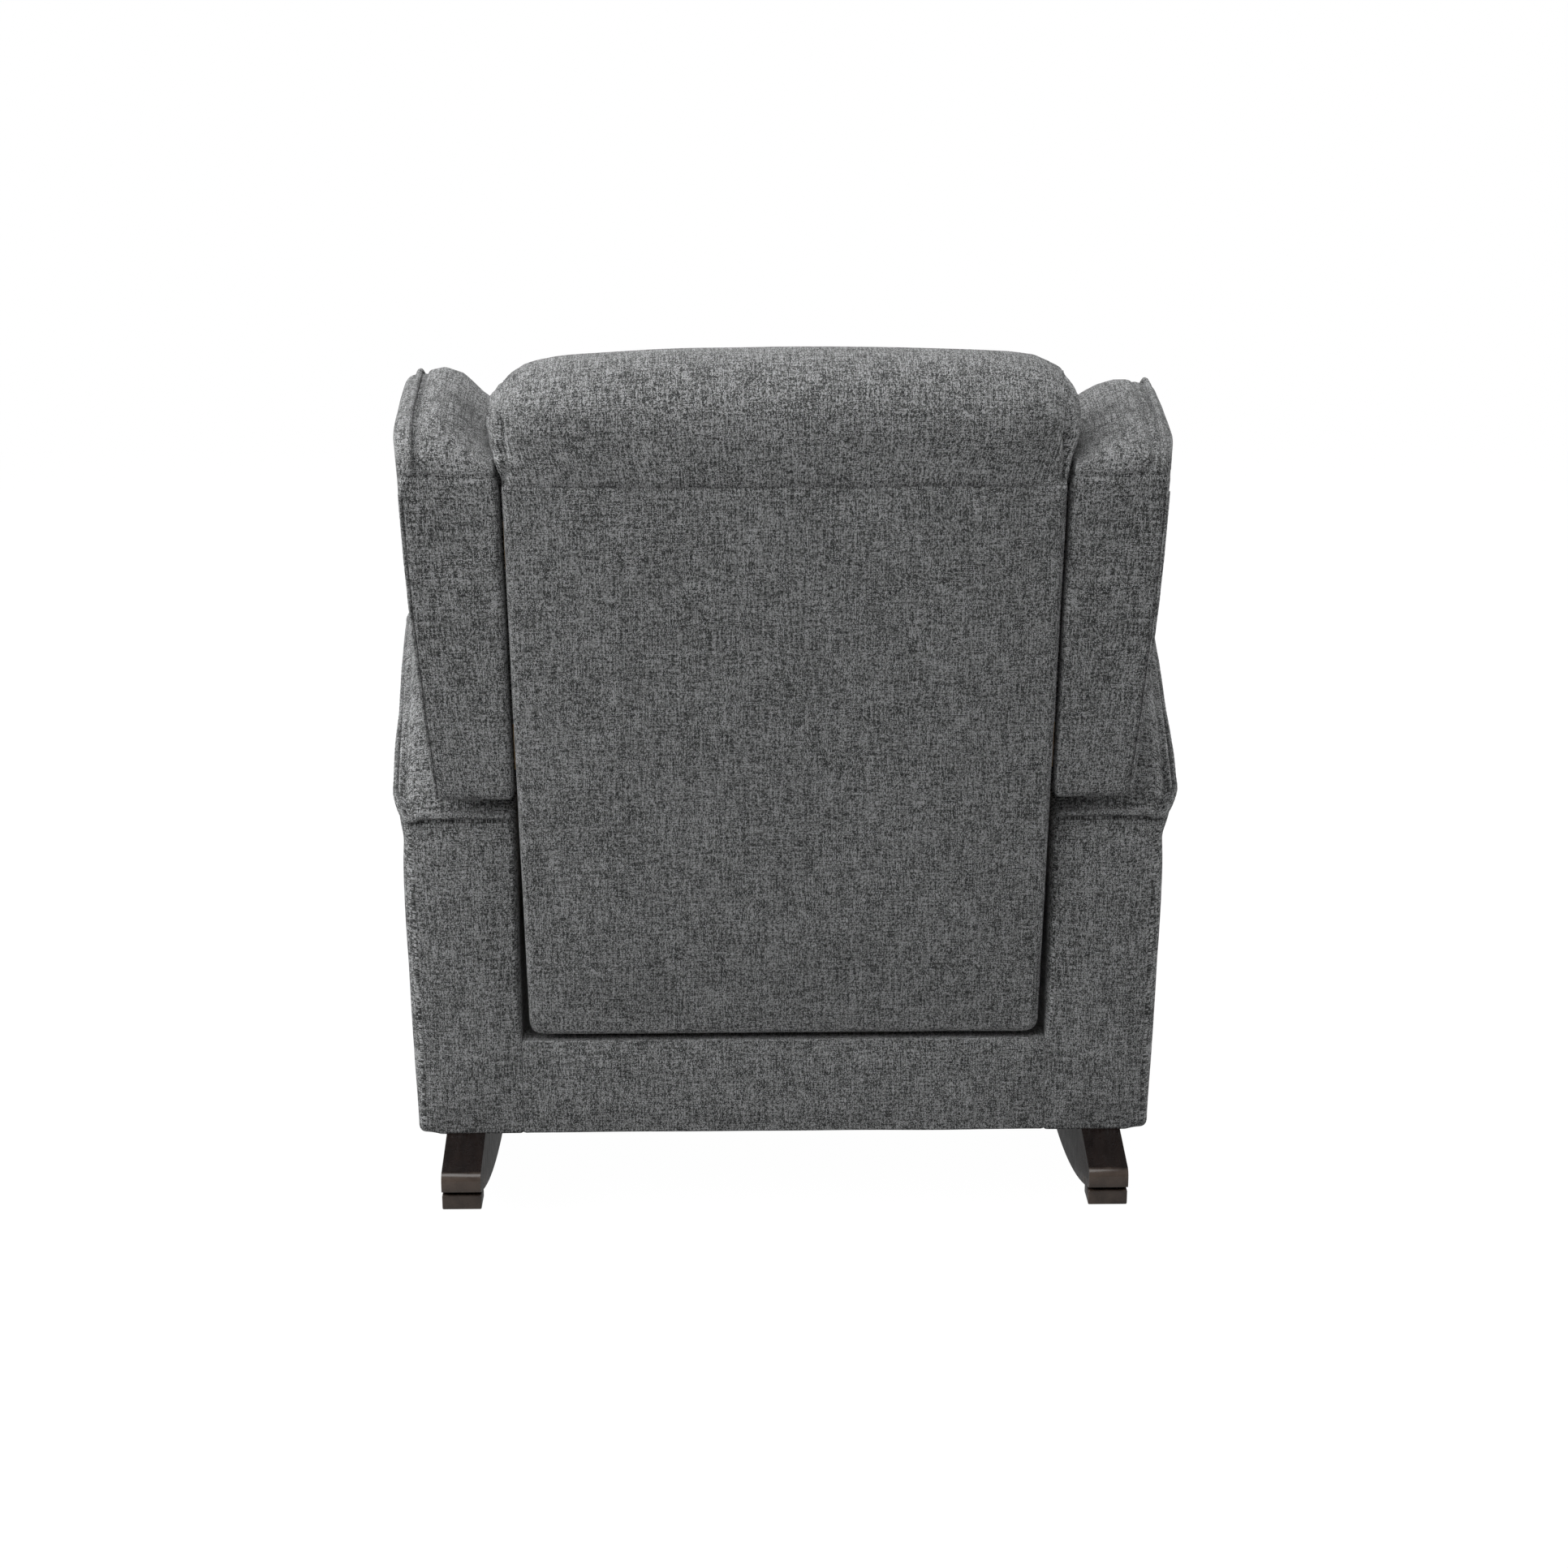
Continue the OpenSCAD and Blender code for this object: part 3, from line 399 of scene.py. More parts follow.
class Form:
    """A closed form: one outline carried along an axis, with rounded rims and domed ends."""

    def __init__(self, outline, start, end, rims, step=5 * MM, rim_steps=5, cap_rings=10, dome=0.0, weight=None):
        self.loop = outline
        inner = inward(outline) * (1 if weight is None else weight[:, None])
        middle = outline.mean(axis=0)
        rows = []
        for low in (True, False):
            edge, radius = (start, rims[0]) if low else (end, rims[1])
            sign = 1 if low else -1
            drawn = outline + inner * radius
            part = [(edge - sign * dome * (1 - k * k), middle + (drawn - middle) * k, True)
                    for k in np.linspace(0.02, 1, cap_rings, endpoint=False)]
            for i in range(rim_steps):
                a = math.pi / 2 * (1 - i / rim_steps)
                part.append((edge + sign * radius * (1 - math.sin(a)),
                             outline + inner * radius * (1 - math.cos(a)), False))
            if low:
                rows = part
            else:
                body = max(2, int((end - rims[1] - start - rims[0]) / step))
                rows += [(a, outline, False) for a in np.linspace(start + rims[0], end - rims[1], body + 1)]
                rows += part[::-1]
        self.along = np.array([r[0] for r in rows])
        self.rings = np.array([r[1] for r in rows])
        self.cap = np.array([r[2] for r in rows])
        self.run = run_along(np.vstack([outline, outline[:1]]))
        self.points = None

    def place(self, shape):
        """Set the form in space: shape turns along, first, second arrays into x, y, z arrays."""
        along = np.repeat(self.along[:, None], self.rings.shape[1], axis=1)
        self.points = np.stack(shape(along, self.rings[:, :, 0], self.rings[:, :, 1]), axis=2)
        return self

    def normals(self):
        """Outward normals of the grid of points."""
        down = np.gradient(self.points, axis=0)
        round_ = np.roll(self.points, -1, axis=1) - np.roll(self.points, 1, axis=1)
        found = np.cross(down, round_)
        found /= np.linalg.norm(found, axis=2)[:, :, None] + 1e-12
        centre = self.points.reshape(-1, 3).mean(axis=0)
        outward = np.sum(found * (self.points - centre))
        return found if outward > 0 else -found

    def row(self, along):
        """The row of points nearest to a place along the axis."""
        return int(np.argmin(np.abs(self.along - along)))

    def column(self, first, second):
        """The column of points nearest to a place on the outline."""
        return int(np.argmin(np.linalg.norm(self.loop - (first, second), axis=1)))

    def relief(self, depth):
        """Move the surface along its normals: depth takes the grid of points."""
        self.points = self.points + self.normals() * depth(self.points)[:, :, None]
        return self

    def build(self, name, material):
        """Make the mesh object, with a weave map in metres."""
        rows, count = self.points.shape[:2]
        verts = [tuple(p) for p in self.points.reshape(-1, 3)]
        verts += [tuple(self.points[0].mean(axis=0)), tuple(self.points[-1].mean(axis=0))]
        faces, uvs = [], []
        shift = run_along(self.points[:, 0])
        for i in range(rows - 1):
            flat = self.cap[i] or self.cap[i + 1]
            for j in range(count):
                k = (j + 1) % count
                faces.append((i * count + j, i * count + k, (i + 1) * count + k, (i + 1) * count + j))
                if flat:
                    uvs += [tuple(self.rings[i, j]), tuple(self.rings[i, k]),
                            tuple(self.rings[i + 1, k]), tuple(self.rings[i + 1, j])]
                else:
                    a, b = shift[i], shift[i + 1]
                    s, t = self.run[j], self.run[j + 1]
                    uvs += [(a, s), (a, t), (b, t), (b, s)]
        for row, pole in ((0, rows * count), (rows - 1, rows * count + 1)):
            for j in range(count):
                k = (j + 1) % count
                faces.append((row * count + j, row * count + k, pole))
                middle = self.rings[row].mean(axis=0)
                uvs += [tuple(self.rings[row, j]), tuple(self.rings[row, k]), tuple(middle)]
        return mesh_piece(name, verts, faces, material, uvs)


def add_object(name, data):
    """A new object in the scene."""
    made = bpy.data.objects.new(name, data)
    bpy.context.scene.collection.objects.link(made)
    return made


def add_mesh(name, verts, edges, faces):
    """A new mesh object in the scene."""
    mesh = bpy.data.meshes.new(name)
    mesh.from_pydata(verts, edges, faces)
    return add_object(name, mesh)


def mesh_piece(name, verts, faces, material, uvs):
    """A smooth mesh object in the scene, its faces turned outwards."""
    piece = add_mesh(name, verts, [], faces)
    mesh = piece.data
    mesh.uv_layers.new(name="weave").data.foreach_set("uv", [c for uv in uvs for c in uv])
    work = bmesh.new()
    work.from_mesh(mesh)
    bmesh.ops.recalc_face_normals(work, faces=work.faces)
    work.to_mesh(mesh)
    work.free()
    mesh.shade_smooth()
    mesh.materials.append(finish(material))
    return piece


def lumps(points, scale, seed=0.0):
    """Soft noise from -1 to 1 over a grid of points."""
    flat = points.reshape(-1, 3) * scale
    values = [noise.noise(Vector((p[0] + seed, p[1], p[2] - seed))) for p in flat]
    return np.array(values).reshape(points.shape[:2])


def tube(name, path, radius, sides=10):
    """A covered welt or wire along a path, with a weave map in metres."""
    path = np.array(path, dtype=float)
    count = len(path)
    verts, faces, uvs = [], [], []
    run = run_along(path)
    tangent = np.gradient(path, axis=0)
    tangent /= np.linalg.norm(tangent, axis=1)[:, None] + 1e-12
    side = np.cross(tangent[0], (0.1, 0.2, 1.0))
    for i in range(count):
        side = side - tangent[i] * (side @ tangent[i])
        side /= np.linalg.norm(side)
        up = np.cross(tangent[i], side)
        swell = radius * (1 + 0.05 * math.sin(run[i] * 900) + 0.05 * noise.noise(Vector(path[i]) * 60))
        for s in range(sides):
            a = 2 * math.pi * s / sides
            verts.append(tuple(path[i] + swell * (side * math.cos(a) + up * math.sin(a))))
    girth = 2 * math.pi * radius / sides
    for i in range(count - 1):
        for s in range(sides):
            t = (s + 1) % sides
            faces.append((i * sides + s, i * sides + t, (i + 1) * sides + t, (i + 1) * sides + s))
            uvs += [(s * girth, run[i]), ((s + 1) * girth, run[i]),
                    ((s + 1) * girth, run[i + 1]), (s * girth, run[i + 1])]
    for row in (0, count - 1):
        faces.append(tuple(row * sides + s for s in range(sides)))
        uvs += [(s * girth, run[row]) for s in range(sides)]
    # Welts and folds wear the welt linen, which is darkened by painted shade.
    return mesh_piece(name, verts, faces, "welt", uvs)


def ease_path(points, step=3 * MM):
    """A smooth even path through given points."""
    points = np.array(points, dtype=float)
    ends = np.vstack([2 * points[0] - points[1], points, 2 * points[-1] - points[-2]])
    out = []
    for i in range(1, len(ends) - 2):
        p0, p1, p2, p3 = ends[i - 1:i + 3]
        for t in np.linspace(0, 1, 12, endpoint=False):
            out.append(0.5 * (2 * p1 + (p2 - p0) * t + (2 * p0 - 5 * p1 + 4 * p2 - p3) * t * t
                              + (3 * p1 - p0 - 3 * p2 + p3) * t ** 3))
    out = np.array(out + [points[-1]])
    run = run_along(out)
    places = np.linspace(0, run[-1], max(3, int(run[-1] / step)))
    return np.stack([np.interp(places, run, out[:, k]) for k in range(3)], axis=1)


# ---------------------------------------------------------------- places

def lean_place(x, y, z):
    """Turn the back's own coordinates into the chair's."""
    a = sizes().lean
    return x, REAR_Y + y * math.cos(a) + z * math.sin(a), BACK_FOOT_Z - y * math.sin(a) + z * math.cos(a)


def back_place(points):
    """The back's own x, y and z of a grid of points."""
    a = sizes().lean
    dy, dz = points[..., 1] - REAR_Y, points[..., 2] - BACK_FOOT_Z
    return points[..., 0], dy * math.cos(a) - dz * math.sin(a), dy * math.sin(a) + dz * math.cos(a)


def arm_rise(y):
    """How far the arm has risen at y, from 0 at the rear to 1."""
    return np.sin(np.pi / 2 * np.clip((REAR_Y - y) / sizes().arm_rise, 0, 1))


def arm_top(y):
    """Height of the arm's crown line without its padding."""
    return sizes().arm_rear + (ARM_TOP_Z - sizes().arm_rear) * arm_rise(y)


def arm_seam(y):
    """Height of the arm's welt."""
    return arm_top(y) - 22 * MM * arm_rise(y)


def arm_outer(y):
    """Outer face of the arm."""
    return ARM_OUT + (ARM_OUT_FRONT - ARM_OUT) * np.clip((REAR_Y - y) / sizes().arm_rise, 0, 1)


def hand(piece, side):
    """Mirror a piece onto its side of the chair."""
    if side < 0:
        piece.data.transform(Matrix.Scale(-1, 4, (1, 0, 0)))
        piece.data.flip_normals()
    return piece


def pucker(points, distance, reach, depth, pitch, seed=0.0):
    """Small gathers that run from a seam and fade with distance from it."""
    wave = lumps(points, 1 / pitch, seed) + 0.5 * lumps(points, 2.1 / pitch, seed + 4)
    return depth * wave * np.exp(-np.abs(distance) / reach)


def groove(distance, depth, width):
    """A seam pulled into the padding."""
    return -depth * np.exp(-(distance / width) ** 2)


SEAM_PATHS = {"chassis": [], "back": []}


# ---------------------------------------------------------------- covers

def back_half(z):
    """Half the width of the back at a height along its slope."""
    return (278 + 10 * np.clip(z / sizes().seam_height, 0, 1)) * MM


def build_back_panel():
    """Flat upholstered outside back, slightly crowned, with soft puckers under the roll seam."""
    top = sizes().seam_height
    tuck = top + 1.5 * MM
    outline = rounded_outline([(-PANEL_LOW_HALF, -1 * MM, 17 * MM), (PANEL_LOW_HALF, -1 * MM, 17 * MM),
                               (PANEL_TOP_HALF, tuck, 2 * MM), (-PANEL_TOP_HALF, tuck, 2 * MM)], 4 * MM)
    weight = 0.12 + 0.88 * ease(top - outline[:, 1], 12)
    form = Form(outline, -20 * MM, 0.0, (1 * MM, 8 * MM), cap_rings=90, weight=weight)
    form.place(lambda a, u, v: lean_place(u, a, v))

    def relief(points):
        x, y, z = back_place(points)
        rear = ease(y + 12 * MM, 10)
        edge = np.minimum(back_half(z) - np.abs(x), np.minimum(z, 60 * MM + 0.8 * (top - z)))
        crown = 5 * MM * ease(edge, 110) + 0.8 * MM * lumps(points, 9.0) + 0.35 * MM * lumps(points, 26.0)
        gathers = pucker(points, top - z, 22 * MM, 0.7 * MM, 24 * MM) + groove(top - z, 0.5 * MM, 2.5 * MM)
        side = pucker(points, back_half(z) - np.abs(x), 14 * MM, 0.4 * MM, 20 * MM)
        return rear * (crown + gathers + side)

    form.relief(relief)
    panel = form.build("back_outside_cover", "linen")
    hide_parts("back_panel")
    return [panel]


def roll_section():
    """Side outline of the roll, in the back's own y and z."""
    top, crest, depth = sizes().seam_height, sizes().back_height, sizes().roll_depth
    arc = [(-depth / 2 + depth / 2 * math.cos(a), top + 40 * MM + (crest - top - 40 * MM) * math.sin(a) ** 0.7,
            5 * MM) for a in np.linspace(0.12, math.pi - 0.12, 15)]
    low = top - 1.5 * MM
    return even_loop(rounded_outline([(0.0, low, 1.2 * MM), (0.0, top + 34 * MM, 12 * MM)] + arc
                                     + [(-depth, top - 2 * MM, 8 * MM), (-depth + 16 * MM, top - 14 * MM, 8 * MM),
                                        (-depth + 60 * MM, low, 6 * MM)],
                                     3 * MM), 3 * MM)


def build_back_roll():
    """Stuffed roll over the top of the back, with boxed ends sewn to the main panel."""
    top = sizes().seam_height
    section = roll_section()
    high = ease(section[:, 1] - top, 70)
    half = ROLL_HALF
    form = Form(section, -half, half, (50 * MM, 46 * MM), step=3.5 * MM, rim_steps=34, cap_rings=16,
                dome=5 * MM, weight=0.03 + 0.97 * high)

    def shape(a, u, v):
        draw = 1 - 0.05 * (1 - ease(v - top, 60))
        end = np.abs(a / half)
        sag = 2 * MM * np.cos(a / half * math.pi * 0.9) + np.where(a > 0, 22 * end ** 2.2, 13 * end ** 1.8) * MM
        return lean_place(a * draw, u, v - sag * ease(v - top - 60 * MM, 50))

    form.place(shape)

    def relief(points):
        x, y, z = back_place(points)
        boxing = 282.5 * MM + 4 * MM * ease(z - top, 70) - np.abs(x)
        up = ease(z - top, 8)
        sewn = groove(boxing, 5 * MM, 3.2 * MM) * up * (1 - 0.85 * ease(z - top - 62 * MM, 26))
        fill = 4.5 * MM * ease(z - top + 8 * MM, 16) * ease(boxing, 60)
        gathers = pucker(points, boxing, 24 * MM, 3.4 * MM, 17 * MM) * up
        low = pucker(points, z - top, 16 * MM, 0.7 * MM, 22 * MM, 3.0)
        return sewn + fill + gathers + low * ease(y + 60 * MM, 40) + 1.3 * MM * lumps(points, 11.0)

    form.relief(relief)
    for side in (-1, 1):
        row = form.row(side * ROLL_SEAM_X)
        ring = form.points[row] + form.normals()[row] * 0.5 * MM
        seen = ring[section[:, 1] > top + 12 * MM]
        start = int(np.argmax(np.linalg.norm(np.diff(seen, axis=0), axis=1))) + 1
        SEAM_PATHS["back"].append(np.roll(seen, -start, axis=0))
    roll = form.build("back_roll_cover", "linen")
    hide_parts("back_roll")
    return [roll]


def wing_section():
    """Side outline of a wing, in the back's own y and z."""
    depth, top = sizes().wing_depth, sizes().seam_height
    a = sizes().lean
    crest_y, crest, rear, knee = -200 * MM, 690 * MM, -6 * MM, top + WING_KNEE

    def low(y):
        world = float(arm_top(REAR_Y + y)) + 17 * MM - BACK_FOOT_Z
        return y * math.cos(a) - world * math.sin(a), y * math.sin(a) + world * math.cos(a)

    points = [(low(y)[0] if i else rear, low(y)[1], 10 * MM) for i, y in enumerate(
        (rear + 30 * MM, -40 * MM, -90 * MM, -140 * MM, -190 * MM))]
    points += [(-depth - 2 * MM, low(-depth)[1] + 8 * MM, 10 * MM)]
    points += [(crest_y - (depth + crest_y) * math.cos(t), crest - 90 * MM + 90 * MM * math.sin(t), 14 * MM)
               for t in np.linspace(0, math.pi / 2, 5)]
    points += [(crest_y + (rear - crest_y) * math.sin(t), knee + (crest - knee) * math.cos(t), 10 * MM)
               for t in np.linspace(math.pi / 10, math.pi / 2, 6)]
    return even_loop(rounded_outline(points, 3.5 * MM), 3.5 * MM)


def wing_outer(z):
    """Outer face of a wing at a height along the back's slope."""
    return np.interp(z, np.array([220, 270, 362, 482, 590, 640, 700]) * MM,
                     np.array([350, 365, 375, 385, 391, 393, 395]) * MM)


def wing_inner(z):
    """Inner face of a wing, just clear of the back and its roll."""
    return back_half(z) + np.interp(z, np.array([600, 625, 671]) * MM, np.array([1.5, 5, 19]) * MM)


def build_wing(side_name):
    """One wing: rear strip, crowned top band with a welt, and a soft outer face."""
    section = wing_section()
    form = Form(section, 0.0, WING_SPAN, (9 * MM, 9 * MM), step=2.5 * MM, rim_steps=9, cap_rings=36)
    drop = WING_DROPS[side_name]
    knee = sizes().seam_height + WING_KNEE

    def shape(a, u, v):
        t = a / WING_SPAN
        inner, outer = wing_inner(v) - 5 * MM * ease(-u - 21 * MM, 4), wing_outer(v)
        fall = np.interp(t, [0, 0.2, 0.42, 0.6, 0.8, 1], np.array(drop) * MM)
        return lean_place(inner + (outer - inner) * t, u, v - fall * ease(v - knee, 70))

    form.place(shape)

    def relief(points):
        x, y, z = back_place(points)
        rear = ease(y + 22 * MM, 14)
        seam = groove(z - knee + 3 * MM, 2.6 * MM, 2.6 * MM) * rear \
            + groove(x - wing_outer(z) + 14 * MM + 5 * MM, 3.5 * MM, 2.5 * MM) * ease(z - knee, 6)
        band = 4 * MM * ease(z - knee, 30) * ease(x - wing_inner(z), 30) \
            * ease(wing_outer(z) - x, 24)
        face = ease(x - wing_outer(z) + 16 * MM, 14)
        deep = np.minimum(-y, np.minimum(y + sizes().wing_depth, z - 250 * MM))
        puff = 6 * MM * face * ease(deep, 70)
        gathers = pucker(points, z - knee, 18 * MM, 1.0 * MM, 17 * MM) * rear
        return seam + band + puff + gathers + 1.0 * MM * lumps(points, 13.0, 5.0) + 0.4 * MM * lumps(points, 34.0)

    form.relief(relief)
    row = form.row(WING_WELT_PLACES[side_name])
    band = form.points[row] + form.normals()[row] * 0.9 * sizes().welt / 2
    x, y, z = back_place(band)
    on_top = np.where((z > knee - 4 * MM) & (y > -212 * MM))[0]
    path = band[on_top[np.argsort(y[on_top])]]
    knob = path[0] + np.array([-2 * MM, -6 * MM, -6 * MM])
    path = ease_path(np.vstack([knob, path[::6], path[-1]]))
    side = SIDES[side_name]
    welt = hand(tube(f"wing_welt_{side_name}", path, sizes().welt / 2), side)
    row = form.row(WING_FOLD_PLACE)
    edge = form.points[row] + form.normals()[row] * 1.2 * MM
    x, y, z = back_place(edge)
    rear_edge = edge[(y > -14 * MM) & (z < knee - 12 * MM) & (z > 268 * MM)]
    rising = rear_edge[np.argsort(rear_edge[:, 2])][::4]
    fold = hand(tube(f"wing_fold_{side_name}", ease_path(rising), 2 * MM), side)
    cover = hand(form.build(f"wing_cover_{side_name}", "linen"), side)
    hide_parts(*(f"wing_{part}_{side_name}" for part in ("inside_pad", "outside_pad", "frame")))
    return [cover, welt, fold]


def arm_welt_path(form):
    """Line of the arm's welt: back along the outer edge, round the corner and in along the rear edge."""
    raised = form.points + form.normals() * 0.3 * sizes().welt
    outer = form.column(ARM_OUT, sizes().arm_rear - 3 * MM)
    inner = form.column(ARM_IN + 2 * MM, sizes().arm_rear - 1 * MM)
    rows = np.where(~form.cap)[0]
    rear = rows[int(np.argmin(np.abs(form.along[rows] - REAR_Y + 3 * MM)))]
    edge = raised[rows[2]:rear - 3:4, outer].copy()
    edge[:, 0] += 1.5 * MM * np.sin(math.pi * np.clip((REAR_Y - edge[:, 1]) / (130 * MM), 0, 1)) ** 0.7
    across = raised[rear, outer + 4:inner:4] + (0, 3 * MM, 0)
    return ease_path(np.vstack([edge, across]))


def arm_front_path(form):
    """Line of the welt round the arm's front panel, from its outer foot over the top to its inner foot."""
    raised = form.points + form.normals() * 0.3 * sizes().welt
    outer = form.column(ARM_OUT, BASE_Z + 14 * MM)
    inner = form.column(ARM_IN, BASE_Z + 14 * MM)
    return ease_path(raised[np.where(~form.cap)[0][4], outer:inner:4])


def build_arm(side_name):
    """One arm: rear panel, tapering sides and a crowned top inside a welt."""
    base, rear_top = BASE_Z, sizes().arm_rear
    width = ARM_OUT - ARM_IN
    outline = rounded_outline([(ARM_IN, base - 1 * MM, 4 * MM), (ARM_OUT, base - 1 * MM, 9 * MM),
                               (ARM_OUT, rear_top, 7 * MM), (ARM_IN, rear_top, 7 * MM)], 3 * MM)
    outer_side = ease(outline[:, 0] - ARM_OUT + 30 * MM, 30)
    above_rail = ease(outline[:, 1] - RAIL_TOP_Z + 10 * MM, 30)
    weight = np.maximum(outer_side, 0.04 + 0.68 * above_rail)
    form = Form(outline, FRONT_Y, REAR_Y, (16 * MM, 10 * MM), step=5 * MM, rim_steps=8, cap_rings=46,
                weight=weight)

    def shape(a, u, v):
        across = (u - ARM_IN) / width
        up = (v - base) / (rear_top - base)
        taper = (5.5 * MM * (1 - smooth(up)) + 3 * MM) * across
        behind = (0.35 + 0.65 * ease(REAR_Y - a, 36)) * (1 - 0.8 * arm_rise(a))
        lip = ARM_LIPS[side_name] * MM * smooth((up - 0.9) / 0.08) * behind * across ** 3
        x = ARM_IN + across * (arm_outer(a) - ARM_IN) - taper + lip \
            + 1.5 * MM * (1 - across) * smooth((up - 0.3) / 0.1) * ease(a - REAR_Y + 14 * MM, 10)
        z = base + up * (arm_seam(a) - base)
        crown = (arm_top(a) - arm_seam(a)) + 7 * MM * ease(REAR_Y - a - 2 * MM, 110)
        bow = np.clip(1 - np.abs(2 * across - 1) ** 3, 0, 1) ** 0.8
        valley = (groove((1 - across) * width - 7.5 * MM, 6 * MM, 3.2 * MM)
                  + groove(REAR_Y - a - 9 * MM, 4 * MM, 3.5 * MM)) * smooth((up - 0.97) / 0.03)
        return x, a, z + crown * bow * smooth((up - 0.93) / 0.07) + valley

    form.place(shape)

    def relief(points):
        x, y, z = np.moveaxis(points, -1, 0)
        under = arm_seam(y) - z
        rear = ease(y - REAR_Y + 8 * MM, 8)
        flatten = 0.45 + 0.35 * smooth((x - ARM_IN) / width)
        sewn = np.maximum(rear, ease(x - arm_outer(y) + 14 * MM, 9))
        seam = groove(under - 5.5 * MM, 3.6 * MM, 2.6 * MM) * flatten * sewn
        inset = np.minimum(np.minimum(x - ARM_IN, ARM_OUT - x), np.minimum(z - base, under))
        puff = 4 * MM * rear * ease(inset, 45)
        side = 3 * MM * ease(x - arm_outer(y) + 20 * MM, 20) * ease(np.minimum(z - base, under), 90)
        gathers = pucker(points, under, 20 * MM, 0.8 * MM, 16 * MM, 7.0)
        return (seam + puff + side * (1 - rear) + gathers * ease(under, 4)
                + 0.8 * MM * lumps(points, 10.0, 2.0) + 0.3 * MM * lumps(points, 30.0))

    form.relief(relief)
    side = SIDES[side_name]
    cover = hand(form.build(f"arm_cover_{side_name}", "linen"), side)
    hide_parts(*(f"arm_{part}_{side_name}" for part in
                         ("outside_panel", "inside_pad", "top_pad", "front_pad", "rear_panel")))
    path = arm_welt_path(form)
    welt = hand(tube(f"arm_welt_{side_name}", path, sizes().welt / 2), side)
    front = hand(tube(f"arm_front_welt_{side_name}", arm_front_path(form), sizes().welt / 2), side)
    SEAM_PATHS["chassis"].append(np.array([(side * x, REAR_Y + 1.6 * MM, rear_top - 11 * MM)
                                           for x in np.linspace(ARM_IN + 6 * MM, ARM_OUT - 12 * MM, 40)]))
    return [cover, welt, front]


def build_rail_cover():
    """Padded cloth strip over the rear rail."""
    half, top = ARM_IN + 0.6 * MM, RAIL_TOP_Z
    outline = box_outline((-half, BASE_Z - 0.5 * MM), (half, top + 1.5 * MM), (1 * MM, 1 * MM))
    form = Form(outline, REAR_Y - 37 * MM, REAR_Y, (1 * MM, 1.5 * MM), cap_rings=60)
    form.place(lambda a, u, v: (u, a, v))

    def relief(points):
        x, y, z = np.moveaxis(points, -1, 0)
        rear = ease(y - REAR_Y + 5 * MM, 4)
        inset = np.minimum(half - np.abs(x), np.minimum(z - BASE_Z, top - z))
        return rear * (2 * MM * ease(inset, 30) + 0.7 * MM * lumps(points, 9.0)
                       + pucker(points, half - np.abs(x), 14 * MM, 0.5 * MM, 16 * MM))

    form.relief(relief)
    cover = form.build("rear_rail_cover", "linen")
    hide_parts("rear_rail_panel")
    return [cover]


# ---------------------------------------------------------------- cushions

def box_weave(mesh):
    """Give a mesh a weave map from its own surface, each face on the plane it faces most."""
    layer = mesh.uv_layers.get("weave") or mesh.uv_layers.new(name="weave")
    for face in mesh.polygons:
        n = face.normal
        axis = max(range(3), key=lambda k: abs(n[k]))
        first, second = [(1, 2), (0, 2), (0, 1)][axis]
        for index in face.loop_indices:
            co = mesh.vertices[mesh.loops[index].vertex_index].co
            layer.data[index].uv = (co[first], co[second])


CLOTH = {"quality": 5, "mass": 0.3, "tension_stiffness": 12, "compression_stiffness": 12, "shear_stiffness": 5,
         "bending_stiffness": 0.6, "use_pressure": True, "uniform_pressure_force": 4.0}


def puff_cloth(piece, cap):
    """Blow a stitched box up like a stuffed cover, holding each point within cap of its place."""
    mesh = piece.data
    remesh = piece.modifiers.new("even", "REMESH")
    remesh.mode = "VOXEL"
    remesh.voxel_size = 6 * MM
    bake(piece)
    rest = np.array([v.co for v in piece.data.vertices])
    settings = piece.modifiers.new("cloth", "CLOTH").settings
    for key, value in CLOTH.items():
        setattr(settings, key, value)
    settings.effector_weights.gravity = 0.0
    for frame_number in range(1, 21):
        bpy.context.scene.frame_set(frame_number)
    bake(piece)
    bpy.context.scene.frame_set(1)
    now = np.array([v.co for v in piece.data.vertices])
    move = now - rest
    length = np.linalg.norm(move, axis=1)[:, None] + 1e-9
    now = rest + move * np.minimum(1, cap / length)
    piece.data.vertices.foreach_set("co", now.ravel())
    piece.data.update()
    subdivide = piece.modifiers.new("fine", "SUBSURF")
    subdivide.levels = 1
    bake(piece)
    box_weave(piece.data)
    piece.data.shade_smooth()
    if not piece.data.materials:
        piece.data.materials.append(finish("linen"))
    bpy.data.meshes.remove(mesh)
    return piece


def bake(piece):
    """Apply every modifier to the piece's mesh."""
    bpy.context.view_layer.update()
    shown = piece.evaluated_get(bpy.context.evaluated_depsgraph_get())
    mesh = bpy.data.meshes.new_from_object(shown)
    piece.modifiers.clear()
    piece.data = mesh


def boxed_cushion(name, box, inset, radius, cap, place=None, thin=1):
    """A boxed cushion: a stitched box blown up against its cover."""
    (x0, y0, z0), (x1, y1, z1) = box
    outline = box_outline((x0 + inset, y0 + inset), (x1 - inset, y1 - inset), (radius, radius), 6 * MM)
    form = Form(outline, z0 + inset * thin, z1 - inset * thin, (12 * MM, 12 * MM), step=8 * MM,
                rim_steps=4, cap_rings=30)
    form.place(place or (lambda a, u, v: (u, v, a)))
    piece = form.build(name, "linen")
    return puff_cloth(piece, cap)


def build_seat_cushion():
    """Seat cushion between the arms, boxed and plump."""
    piece = boxed_cushion("seat_cushion_cover", SEAT_BOX, 3 * MM, 34 * MM, 6 * MM, thin=2.2)
    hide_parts("seat_cushion")
    return [piece]


